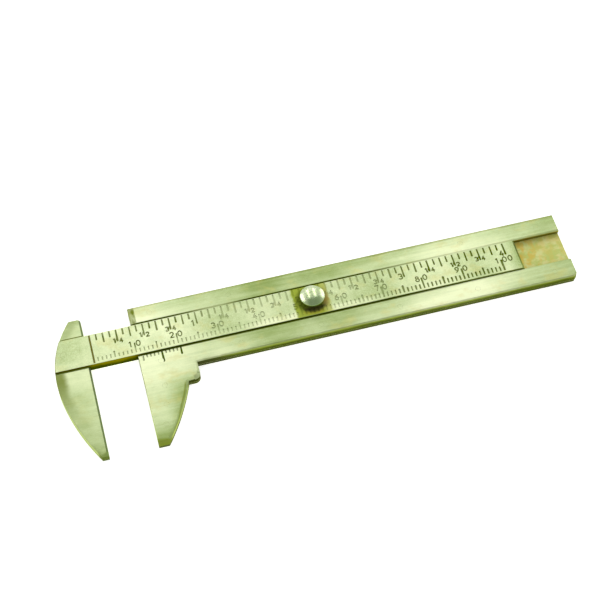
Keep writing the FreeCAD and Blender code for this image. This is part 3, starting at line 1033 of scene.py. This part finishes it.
jaw = {
    "tipWidth": 2.5,
    "rootWidth": 10.1,
    "curve": 59.0,                # radius of its curved side
    "bevel": 0.55,
    "lugWidth": 13.1,
    "lugDrop": 4.45,
    "lugCorner": 1.5,
    "lugFacet": 0.95,             # widest part of the facet filed on the lug's corner
    "cornerCut": 0.9,
    "longEdge": 0.35,
    "slotEdge": 0.05,
    "otherEdge": 0.1,
    "vernierPitch": 0.9,
    "vernierGap": 0.1,            # from the slot's edge to its marks
    "zeroGap": 0.35,              # and further to its zero mark
    "otherGap": 0.02,
    "vernierLengths": {0: 1.65, 5: 3.15, 10: 2.15, 1: 0.95},
    "vernierWidths": {0: 0.42, 5: 0.55, 10: 0.46, 1: 0.36},
    "markDepth": 0.16,
    "markSlim": 0.75,             # a mark's foot as a share of its width
    "markGap": 0.05,              # between a mark and a rivet
    "markStep": 0.08,             # between the points of a mark that is pushed aside
    "rivets": ((0.45, 0), (0.38, 0.35), (0.27, 0.7)),  # shares across its root and down it
}
rivets = {
    "count": 6,
    "inset": 5.0,
    "joinAbove": 0.7,             # height above the slot's floor where a hole's two ends meet
}
# bevels of the two sides that lie against the plate
hiddenBevels = {"rest": chamfer(0.015), "slot": chamfer(0.0)}
lugBottom = body["bottom"] - jaw["lugDrop"]


# The jaw's outline, from its tip to the far end and back along the slot.
def jawCorners(slotEdge):
    left = body["left"]
    return [
        (left, body["tip"], 0, 1, "tip"),
        (left + jaw["tipWidth"], body["tip"], jaw["curve"], 20, "jaw"),
        (left + jaw["rootWidth"], lugBottom, 0, 1, "lugUnder"),
        (left + jaw["lugWidth"] - jaw["lugCorner"], lugBottom, jaw["lugCorner"], 10, "lugRound"),
        (left + jaw["lugWidth"], lugBottom + jaw["lugCorner"], 0, 1, "lugSide"),
        (left + jaw["lugWidth"], body["bottom"], 0, 1, "long"),
        (body["right"] - jaw["cornerCut"], body["bottom"], 0, 1, "long"),
        (body["right"], body["bottom"] + jaw["cornerCut"], 0, 1, "end"),
        (body["right"], slotEdge, 0, 1, "slot"),
        (left, slotEdge, 0, 1, "face"),
    ]


def rivetHole(x, y):
    return circle(x, y, body["rivetRadius"] + body["ringGap"]), None


def rivetRow(y):
    pitch = (body["right"] - body["left"] - 2 * rivets["inset"]) / (rivets["count"] - 1)
    first = body["left"] + rivets["inset"]
    return [rivetHole(first + step * pitch, y) for step in range(rivets["count"])]


upperHoles = rivetRow((body["slotFoot"] + body["top"]) / 2)
lowerHoles = rivetRow((body["bottom"] - body["slotFoot"]) / 2)
jawHoles = [
    rivetHole(body["left"] + jaw["rootWidth"] * across, lugBottom - (lugBottom - body["tip"]) * down)
    for across, down in jaw["rivets"]]


# A mark's outline, pushed out of the first lower rivet, which it would run into.
def clearOf(points):
    ring = lowerHoles[0][0]
    centre = (Vector(ring[0]) + Vector(ring[len(ring) // 2])) / 2
    reach = body["rivetRadius"] + body["ringGap"] + jaw["markGap"]
    cleared = []
    for here, there in zip(points, points[1:] + points[:1]):
        steps = 1 + int((Vector(there) - Vector(here)).length / jaw["markStep"])
        for k in range(steps):
            place = Vector(here).lerp(Vector(there), k / steps)
            if (place - centre).length < reach:
                place = centre + (place - centre).normalized() * reach
            cleared.append(tuple(place))
    return cleared


def vernierMarks():
    marks = []
    edge = -body["slotMouth"] - body["slotLow"] - jaw["vernierGap"]
    for step in range(11):
        kind = step if step in (0, 5, 10) else 1
        length = jaw["vernierLengths"][kind] + dice.uniform(-1, 1) * scale["wobble"]
        start = edge - (jaw["zeroGap"] if step == 0 else jaw["otherGap"])
        width = jaw["vernierWidths"][kind] * dice.uniform(0.9, 1.1)
        outline = mark(step * jaw["vernierPitch"], start, edge - length, width, jaw["markSlim"])
        marks.append((clearOf(outline), jaw["markDepth"]))
    return marks


jawWear = {
    "along": [                    # how dull it is over x
        (-2, 0.0), (4, 0.04), (10, 0.14), (15, 0.3), (20, 0.38), (30, 0.66), (40, 0.54),
        (50, 0.54), (60, 0.36), (70, 0.12), (82, 0.06), (90, 0.32), (100, 0.46), (105.2, 0.54)],
    "down": [                     # and over y
        (-29, 0.8), (-25.5, 0.5), (-20, 0.26), (-14, 0.2), (-9.5, 0.06), (-6, 0.0)],
    # x of its curved side over y, as a share of 12 mm
    "flank": [(body["tip"], 0.2333), (-24.0, 0.42), (-19.5, 0.58), (lugBottom, 0.74)],
    "olive": tone(138, 156, 52),
    "tip": tone(130, 146, 46),
    "facet": tone(138, 153, 60),
    "ink": tone(74, 94, 4),
    "inkDepths": (0.03, 0.07, 0.22, 0.19),
    "paleSide": tone(186, 202, 120),
    "paleFoot": tone(84, 104, 40),
    "tipSideShade": tone(116, 130, 44),
    # painted shade on the walls under the lug and just beyond it
    "lugSide": tone(62, 74, 2),
    "lugShadowBlack": tone(40, 46, 0),
}


# Along the rail, and then down the jaw.
def jawTarnish(shade, x, y, z):
    along = shade.profile(x, jawWear["along"])
    down = shade.profile(y, jawWear["down"])
    outer = shade.step(y, -6.0, -8.2) * 0.14 * shade.step(x, 12.0, 18.0) * shade.step(x, 92.0, 84.0)
    across = shade.step(x, 2.0, 7.0) * shade.step(y, -11.0, -17.0) * 0.36
    return along + down - outer + across


# Olive beside the jaw's bevel, tarnish and painted shade on its tip, facet and lower edge beyond the
# lug, and a dark line along the slot.
def jawStainAndShade(shade, x, y, z):
    soft = shade.noise(shade.point(x, y), (0.3, 0.3, 0.0), 3.0, 0.6, 6.0)
    inward = shade.profile(y, jawWear["flank"]) * 12.0 - x
    line = shade.step(abs(inward - 0.72 + (soft - 0.5) * 0.3), 0.34, 0.08)
    line = line * shade.step(y, lugBottom + 0.2, lugBottom - 1.0) * shade.step(y, -28.0, -26.0)
    # tarnish and painted shade on the tip, its facet and the rounded lower edge beyond the lug
    tip = shade.step(y + (soft - 0.5) * 0.5 + x * 0.12, -27.5, -28.2)
    facetTop = body["tip"] + jaw["bevel"]
    facet = shade.step(y, facetTop + 0.1, facetTop - 0.05)
    seam = slotEdgeLine(shade, y, 0.36) * shade.step(x, 95.0, 55.0)
    low = shade.step(y + (soft - 0.5) * 0.6, -9.1, -9.55) * shade.step(x, 12.5, 14.0)
    colour = shade.mix(tip, jawWear["tip"], jawWear["olive"])
    colour = shade.mix(facet, colour, jawWear["facet"])
    mask = shade.greatest(line * 0.6, tip * 0.8, low * 0.55, facet, seam * 0.92)
    return mask, shade.mix(seam, colour, metalTones["seam"])


def jawInk(shade, x, y, z):
    deep = withinMarks(shade, z, body["face"], jawWear["inkDepths"])
    region = shade.step(y, -8.2, -8.0) * shade.step(x, 10.2, 10.0)
    long = shade.step(abs(abs(x - 6.75) - 2.25), 0.5, 0.3)
    return deep * region * (0.6 + long * 0.4), jawWear["ink"]


# The walls are pale down the jaw, and darkest under the lug and just beyond it: painted shade, as is
# their darkening towards the back.
def jawSide(shade, x, y, z):
    uneven = shade.noise(shade.point(x, 0.0, z), (0.12, 0.0, 0.5), 3.0, 0.6, 27.0)
    onJaw = shade.step(y, lugBottom - 0.2, lugBottom - 1.2)
    beyond = shade.step(x, 23.0, 15.0) * shade.step(x, 7.0, 9.0) * (1 - onJaw)
    lower = shade.step(z + (uneven - 0.5) * 1.6, 1.9, 1.3) * shade.step(x, 8.0, 12.0)
    lower = lower * (0.5 + shade.step(uneven, 0.4, 0.6) * 0.5)
    pale = shade.mix(shade.step(z, 0.9, 0.5), jawWear["paleSide"], jawWear["paleFoot"])
    pale = shade.mix(shade.step(y, -26.8, -28.2), pale, jawWear["tipSideShade"])
    near = shade.mix(beyond, jawWear["lugSide"], jawWear["lugShadowBlack"])
    return shade.greatest(onJaw * 0.9, beyond * 0.95, lower), shade.mix(onJaw, near, pale)


jawLook = dict(
    brassLook,
    brush=alongX,
    seed=7.0,
    tarnish=jawTarnish,
    stainAndShade=jawStainAndShade,
    ink=jawInk,
    side=0.97,
    wallTarnishAndShadeTones=(tone(132, 147, 54), tone(84, 98, 8)),
    sideLevels=(2.1, 1.1),
    sidePatch=jawSide,
)


# The facet on the lug's corner is widest in its middle.
def lugTaper(along):
    return 0.45 + 0.55 * math.sin(math.pi * (0.25 + along * 0.6))


def makeJaw():
    outline, names = trace(jawCorners(-body["slotMouth"] - body["slotLow"]))
    foot, _ = trace(jawCorners(-body["slotFoot"]))
    facet = jaw["lugFacet"]
    bevels = {
        "tip": chamfer(jaw["bevel"]),
        "jaw": chamfer(jaw["bevel"]),
        "lugUnder": rounded(0.12, 0.1),
        "lugRound": chamfer(facet, facet * 0.6, lugTaper),
        "lugSide": chamfer(facet * 0.45, facet * 0.25),
        "long": rounded(jaw["longEdge"]),
        "slot": chamfer(jaw["slotEdge"]),
        "rest": rounded(jaw["otherEdge"]),
    }
    behind = (foot, body["floor"], hiddenBevels, 1)
    before = (outline, body["face"], bevels, 5)
    joinZ = body["floor"] + rivets["joinAbove"]
    soup = slab(names, behind, before, joinZ, lowerHoles + jawHoles, vernierMarks())
    material = metalMaterial("jawBrass", jawLook)
    finishMesh("fixedJaw", soup, material, "frame", "fixed_jaw")


makeJaw()
print("fixed jaw shaped")

rail = {
    "slopeRun": 1.5,              # the slope filed on its left end
    "slopeDrop": 0.2,
    "outerEdge": (0.4, 0.32),     # width and drop
    "slotEdge": (0.08, 0.06),
    "otherEdge": 0.08,
}
railWear = {
    "along": [                    # how dull it is over x
        (-2, 0.0), (3, 0.04), (6, 0.16), (11, 0.3), (20, 0.38), (31, 0.58), (38, 0.52),
        (47, 0.46), (61, 0.34), (77, 0.12), (91, 0.28), (100, 0.44), (105.2, 0.5)],
    "slotLineStrength": [                  # how dark the line along the slot's edge is
        (-2, 1.1), (12, 0.9), (20, 0.5), (28, 1.1), (52, 1.1), (62, 0.7), (75, 0.35), (105.2, 0.4)],
    "slotWall": tone(168, 154, 16),
    "slotWallFootShade": tone(130, 118, 6),
}


def railTarnish(shade, x, y, z):
    return shade.profile(x, railWear["along"]) + shade.step(y, 5.8, 8.0) * 0.12


# Olive along the outer edge, file marks on the sloped end, and a dark line along the slot.
def railStain(shade, x, y, z):
    point = shade.point(x, y)
    soft = shade.noise(point, (0.12, 0.5, 0.0), 3.0, 0.6, 9.0)
    outer = shade.step(y + (soft - 0.5) * 1.1, 8.5, 9.3) * (0.35 + shade.step(x, 4.0, 30.0) * 0.2)
    end = body["left"] + rail["slopeRun"]
    filed = shade.step(x, end + 0.08, end - 0.08)
    lines = shade.noise(point, (5.0, 0.35, 0.0), 3.0, 0.65, 12.0)
    spot = shade.distance(point, (end - 0.35, 8.1, 0.0))
    dull = filed * (0.45 + shade.step(lines, 0.42, 0.6) * 0.4 + shade.step(spot, 0.9, 0.3) * 0.4)
    away = shade.step(x, 14.0, 26.0)
    seam = slotEdgeLine(shade, y, 0.66, away * 0.03) * shade.profile(x, railWear["slotLineStrength"])
    colour = shade.mix(seam, metalTones["olive"], metalTones["cornerDark"])
    return shade.greatest(outer, dull, seam), colour


# The wall inside the slot is brown, darkened towards its foot with painted shade.
def railSide(shade, x, y, z):
    brown = shade.mix(shade.step(z, 2.2, 1.2), railWear["slotWall"], railWear["slotWallFootShade"])
    return shade.step(y, 6.0, 5.5), brown


railLook = dict(
    brassLook,
    brush=alongX,
    seed=19.0,
    tarnish=railTarnish,
    stainAndShade=railStain,
    wallTarnishAndShadeTones=(tone(142, 156, 66), tone(80, 90, 16)),
    sidePatch=railSide,
    cornerDirtAndShade=0.4,
)


def railCorners(slotEdge):
    return [
        (body["left"], slotEdge, 0, 1, "slot"),
        (body["right"], slotEdge, 0, 1, "end"),
        (body["right"], body["top"], 0, 1, "outer"),
        (body["left"], body["top"], 0, 1, "slope"),
    ]


def makeRail():
    outline, names = trace(railCorners(body["slotMouth"]))
    foot, _ = trace(railCorners(body["slotFoot"]))
    bevels = {
        "slope": chamfer(rail["slopeRun"], rail["slopeDrop"]),
        "outer": rounded(*rail["outerEdge"]),
        "slot": chamfer(*rail["slotEdge"]),
        "rest": rounded(rail["otherEdge"]),
    }
    behind = (foot, body["floor"], hiddenBevels, 1)
    before = (outline, body["face"], bevels, 5)
    soup = slab(names, behind, before, body["floor"] + rivets["joinAbove"], upperHoles)
    material = metalMaterial("railBrass", railLook)
    finishMesh("upperRail", soup, material, "frame", "upper_rail")


makeRail()
print("upper rail shaped")

plate = {
    "edgeRound": 0.08,
    "pinX": 2.8,                  # the stop pin
    "pinY": 2.5,
    "pinRadius": 0.6,
    "holeJoin": 0.4,
}
floorTones = {
    "dark": tone(214, 224, 130),
    "light": tone(240, 240, 164),
    "rust": tone(240, 208, 90),
}


# The slot's floor was never polished; it is yellow-brown and blotched.
def floorStain(shade, x, y, z):
    point = shade.point(x, y, z)
    blotch = shade.noise(point, (0.35, 0.5, 0.4), 4.0, 0.6, 3.0)
    rust = shade.noise(point, (0.9, 0.5, 0.4), 2.0, 0.5, 17.0)
    colour = shade.mix(shade.step(blotch, 0.4, 0.62), floorTones["dark"], floorTones["light"])
    rusty = 0.3 + shade.step(x, body["right"] - 5.0, body["right"] - 9.0) * 0.5
    colour = shade.mix(shade.step(rust, 0.36, 0.64) * rusty, colour, floorTones["rust"])
    inside = shade.step(abs(y), body["slotFoot"] + 0.3, body["slotFoot"] + 0.1)
    upward = shade.step(z, body["floor"] - 0.2, body["floor"] - 0.1)
    return inside * upward * 0.95, colour


def plateTarnish(shade, x, y, z):
    patches = shade.noise(shade.point(x, y), (0.05, 0.1, 0.0), 3.0, 0.55, 21.0)
    return shade.step(patches, 0.3, 0.7) * 0.45 + 0.15


# Blackest just beyond the lug: a painted shadow at the foot of the wall.
def plateLugShadow(shade, x, y, z):
    beyond = shade.step(x, 24.0, 15.0) * shade.step(x, 10.5, 11.9)
    under = shade.step(y, body["bottom"] - 0.5, body["bottom"] - 0.2)
    return beyond * under, jawWear["lugShadowBlack"]


plateLook = dict(
    brassLook,
    brush=alongX,
    seed=44.0,
    tarnish=plateTarnish,
    stainAndShade=floorStain,
    stainDull=0.8,
    sidePatch=plateLugShadow,
    wallTarnishAndShadeTones=(tone(68, 80, 4), tone(58, 66, 4)),
    sideLevels=(0.9, 0.2),
    cornerDirtAndShade=0.3,
)


def makePlate():
    outline, names = trace(jawCorners(0)[:8] + [
        (body["right"], body["top"], 0, 1, "outer"),
        (body["left"], body["top"], 0, 1, "face"),
    ])
    pin = (circle(plate["pinX"], plate["pinY"], plate["pinRadius"] + body["ringGap"]), None)
    behind = (outline, 0.0, {"rest": rounded(plate["edgeRound"])}, 3)
    before = (outline, body["floor"], hiddenBevels, 1)
    soup = slab(names, behind, before, plate["holeJoin"], upperHoles + lowerHoles + jawHoles + [pin])
    material = metalMaterial("plateBrass", plateLook)
    finishMesh("backPlate", soup, material, "frame", "back_plate")


makePlate()
print("back plate shaped")

# the turned button

button = {
    "radius": 2.95,
    "neckRadius": 2.0,
    "neckHeight": 1.25,
    "rimHeight": 0.5,
    "rimRound": 0.16,
    "domeHeight": 0.6,
    "fillet": 0.12,               # at both ends of its neck
    "shankEase": 0.06,            # rounding of the shank's hammered end
    "lift": 0.001,                # how far it stands clear of the bar
    "turns": 96,
}
nickelTones = {
    "dark": tone(196, 216, 160),
    "light": tone(228, 240, 202),
    "lowerDomeShade": tone(150, 178, 122),
    "pit": tone(140, 158, 100),
    "neckGrimeAndShadow": tone(20, 18, 6),
}


# Polished nickel with fine turning rings, dull on the neck, which is painted near black as dirt and as
# the shadow under the cap.
def nickelMaterial():
    made, shade = newMaterial("buttonNickel")
    point, (x, y, z) = shade.places()
    away = shade.distance(shade.point(x, y), (slide["buttonX"], 0.0, 0.0))
    rings = shade.noise(shade.point(away * 9.0, z * 9.0), (1.0, 1.0, 1.0), 2.0, 0.6, 1.0)
    smear = shade.noise(point, (0.7, 0.7, 0.7), 3.0, 0.6, 2.0)
    pits = shade.step(shade.noise(point, (6.0, 6.0, 6.0), 2.0, 0.5, 5.0), 0.66, 0.74)
    colour = shade.mix(shade.step(smear, 0.35, 0.7), nickelTones["dark"], nickelTones["light"])
    # painted reflection: a darker green patch on the lower front of the dome, standing in for the dark
    # room overhead
    lowerDomeShade = shade.step(y + (smear - 0.5) * 0.8, -0.1, -1.5)
    lowerDomeShade = lowerDomeShade * shade.step(abs(x - slide["buttonX"] - 0.1), 2.1, 1.1)
    colour = shade.mix(lowerDomeShade * 0.85, colour, nickelTones["lowerDomeShade"])
    colour = shade.mix(pits * 0.4, colour, nickelTones["pit"])
    rim = slide["face"] + button["neckHeight"]
    # the neck painted near black: dirt and the painted shadow under the cap's rim
    neckGrimeAndShadow = shade.step(z + (smear - 0.5) * 0.3, rim + 0.16, rim - 0.05)
    colour = shade.mix(neckGrimeAndShadow * 0.97, colour, nickelTones["neckGrimeAndShadow"])
    bump = shade.add("Bump", {}, {
        "Height": rings * 0.5 - pits * 0.6,
        "Distance": 0.0015 * mm,
        "Strength": 0.2,
    })
    shade.finish({
        "Base Color": colour,
        "Roughness": 0.2 + (smear - 0.5) * 0.1 + pits * 0.15 + neckGrimeAndShadow * 0.4,
        "Metallic": 1 - neckGrimeAndShadow * 0.6,
        "Normal": bump,
    })
    return made


# Points of a rounding about reach and z, at some angles in degrees.
def rounding(reach, z, wide, tall, angles):
    turns = [math.radians(angle) for angle in angles]
    return [(reach + wide * math.cos(t), z + tall * math.sin(t)) for t in turns]


# A lathe profile from the shank's hammered end, up the neck and over the dome.
def buttonProfile():
    foot, face = slide["floor"], slide["face"]
    rim = face + button["neckHeight"]
    radius, soft = button["radius"], button["rimRound"]
    neck, fillet, ease = button["neckRadius"], button["fillet"], button["shankEase"]
    shoulder = foot + bar["seatDepth"]
    profile = [
        (0.0, foot),
        (bar["seatRadius"] - ease, foot),
        (bar["seatRadius"], foot + ease),
        (bar["seatRadius"], shoulder),
        (bar["shankRadius"], shoulder),
        (bar["shankRadius"], face + button["lift"]),
        (neck + fillet, face + button["lift"]),
        (neck + fillet / 4, face + fillet / 2),
        (neck, face + fillet * 1.5),
        (neck, rim - fillet),
        (neck + fillet, rim),
        (radius - soft, rim),
    ]
    profile += rounding(radius - soft, rim + soft, soft, soft, (-67, -45, -22, 0))
    dome = button["domeHeight"]
    domeRadius = (radius ** 2 + dome ** 2) / (2 * dome)
    spread = math.asin((radius - soft) / domeRadius)
    crown = rim + button["rimHeight"] + dome
    fall = crown - domeRadius * (1 - math.cos(spread))
    profile += rounding(radius - soft, fall - soft * 0.9, soft, soft * 0.9, (0, 25, 50, 72))
    for k in range(11):
        turn = spread * (1 - k / 10) * 0.985
        profile.append((domeRadius * math.sin(turn), crown - domeRadius * (1 - math.cos(turn))))
    return profile


def makeButton():
    turns = [2 * math.pi * k / button["turns"] for k in range(button["turns"])]
    rings = []
    for reach, z in buttonProfile():
        rings.append([(slide["buttonX"] + reach * math.cos(t), reach * math.sin(t), z) for t in turns])
    sides = []
    bands(sides, rings)
    soup = []
    for corners in sides:  # at the two poles a side has no width
        around = zip(corners, corners[-1:] + corners[:-1])
        soup.append([c for c, before in around if (Vector(c) - Vector(before)).length > 1e-6])
    finishMesh("turnedButton", soup, nickelMaterial(), "slide", "thumb_button")


makeButton()
print("button turned")

# pieces that keep their own shape: rivets, pins and spring

springLook = dict(
    brassLook,
    brush=alongX,
    seed=3.0,
    tarnish=lambda shade, x, y, z: 0.35,
    rough=0.28,
    cornerDirtAndShade=0.3,
)


# Drawn steel wire: grey, lightly marked along its length, with a little rust.
def steelMaterial():
    made, shade = newMaterial("pinSteel")
    point, _ = shade.places()
    drawn = shade.noise(point, (9.0, 9.0, 0.6), 3.0, 0.6, 4.0)
    rust = shade.step(shade.noise(point, (1.6, 1.6, 1.6), 3.0, 0.6, 9.0), 0.56, 0.7)
    colour = shade.mix(drawn, tone(122, 124, 126), tone(176, 178, 180))
    shade.finish({
        "Base Color": shade.mix(rust * 0.6, colour, tone(104, 66, 38)),
        "Roughness": 0.32 + rust * 0.35,
        "Metallic": 1 - rust * 0.6,
        "Normal": shade.add("Bump", {}, {"Height": drawn, "Distance": 0.006 * mm, "Strength": 0.5}),
    })
    return made


keptFinishes = {
    "upper_rail_rivets": metalMaterial("upperRivetBrass", dict(railLook, cornerDirtAndShade=0.0)),
    "lower_rail_rivets": metalMaterial("lowerRivetBrass", dict(jawLook, cornerDirtAndShade=0.0)),
    "head_pins": metalMaterial("headPinBrass", dict(barLook, cornerDirtAndShade=0.0, ink=None)),
    "friction_spring": metalMaterial("springBrass", springLook),
    "stop_pin": steelMaterial(),
}
keptFinishes["jaw_rivets"] = keptFinishes["lower_rail_rivets"]
for node, finish in keptFinishes.items():
    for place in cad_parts[node].material_slots:
        place.material = finish
print("rivets, pins and spring finished")

# floor, light and camera

studio = {
    "floorSize": 4.0,             # metres
    "floorTones": (0.93, 0.95),
    "floorGlow": 0.7,
    "sky": [(0.0, 0.86), (0.35, 0.84), (0.65, 0.68), (0.85, 0.58), (1.0, 0.5)],  # by height
    "overhead": (0.0, -0.08, 1.0),  # the room is darker straight above
    "overheadEdge": (0.88, 0.98),
    "overheadShade": 0.14,
    "lampDistance": 0.95,         # metres from the caliper's middle
    "lampWidth": 0.07,
    "lampGlow": 8.4,              # watts for each square metre
    "lampEnds": [                 # the ways in which the two ends of each lamp lie
        ((-0.42, 0.28, 0.86), (-0.33, 0.76, 0.56)),
        ((-0.07, 0.39, 0.92), (-0.03, 0.88, 0.48)),
        ((0.26, 0.40, 0.88), (0.23, 0.87, 0.44)),
        ((0.62, 0.31, 0.72), (0.52, 0.74, 0.42)),
    ],
    "lens": 99.0,
    "sensor": 36.0,
    "eye": (-7.62, -220.05, 323.1),
    "backward": (-0.1193, -0.5633, 0.8176),
    "rightward": (0.9689, -0.2459, -0.0281),
}


def makeFloor():
    size = studio["floorSize"] / 2
    mesh = bpy.data.meshes.new("floor")
    corners = [(-size, -size, 0), (size, -size, 0), (size, size, 0), (-size, size, 0)]
    mesh.from_pydata(corners, [], [(0, 1, 2, 3)])
    floor = bpy.data.objects.new("floor", mesh)
    floor.location.z = cadLow.z - 0.00002
    bpy.context.scene.collection.objects.link(floor)
    made, shade = newMaterial("paper")
    point, _ = shade.places()
    pulp = shade.noise(point, (0.4, 0.4, 0.4), 3.0, 0.6, 1.0)
    dark, light = [(level, level, level, 1) for level in studio["floorTones"]]
    shade.finish({
        "Base Color": shade.mix(pulp, dark, light),
        "Roughness": 0.9,
        "Emission Color": (1, 1, 1, 1),
        "Emission Strength": studio["floorGlow"],
    })
    mesh.materials.append(made)


# Four long soft lamps behind the caliper, which the button's dome shows as upright streaks.
def makeLamps():
    middle = (cadLow + cadHigh) / 2
    for index, ends in enumerate(studio["lampEnds"]):
        lower, upper = [middle + Vector(way).normalized() * studio["lampDistance"] for way in ends]
        centre = (lower + upper) / 2
        lengthwise = (upper - lower).normalized()
        outward = (centre - middle).normalized()
        outward = (outward - lengthwise * outward.dot(lengthwise)).normalized()
        light = bpy.data.lights.new(f"lamp{index}", "AREA")
        light.shape = "RECTANGLE"
        light.size, light.size_y = studio["lampWidth"], (upper - lower).length
        light.energy = studio["lampGlow"] * light.size * light.size_y
        lamp = bpy.data.objects.new(f"lamp{index}", light)
        turned = Matrix((lengthwise.cross(outward), lengthwise, outward)).transposed().to_4x4()
        turned.translation = centre
        lamp.matrix_world = turned
        bpy.context.scene.collection.objects.link(lamp)


def makeSky():
    world = bpy.data.worlds.new("studio")
    bpy.context.scene.world = world
    world.use_nodes = True
    shade = Shade(world.node_tree)
    way = shade.add("TexCoord", {}, {}, out=0)
    height = shade.add("SeparateXYZ", {}, {0: way}, out=2)
    stops = [(place, (level,) * 3) for place, level in studio["sky"]]
    light = shade.add("ValToRGB", {"stops": stops}, {0: height})
    aimed = {0: way, 1: studio["overhead"]}
    facing = shade.add("VectorMath", {"operation": "DOT_PRODUCT"}, aimed, out=1)
    above = shade.step(facing, *studio["overheadEdge"]) * studio["overheadShade"]
    light = shade.mix(above, light, (0, 0, 0, 1))
    glow = shade.add("Background", {}, {"Color": light, "Strength": 1.0})
    shade.add("OutputWorld", {}, {"Surface": glow})


def makeCamera():
    data = bpy.data.cameras.new("camera")
    data.lens = studio["lens"]
    data.sensor_width = studio["sensor"]
    data.clip_start = 0.01
    camera = bpy.data.objects.new("camera", data)
    backward = Vector(studio["backward"]).normalized()
    right = Vector(studio["rightward"])
    right = (right - backward * right.dot(backward)).normalized()
    upward = backward.cross(right)
    turned = Matrix((right, upward, backward)).transposed().to_4x4()
    turned.translation = Vector(studio["eye"]) * mm
    camera.matrix_world = turned
    bpy.context.scene.collection.objects.link(camera)
    bpy.context.scene.camera = camera


makeFloor()
makeLamps()
makeSky()
makeCamera()
bpy.context.scene.view_settings.view_transform = "Standard"
print("studio ready")
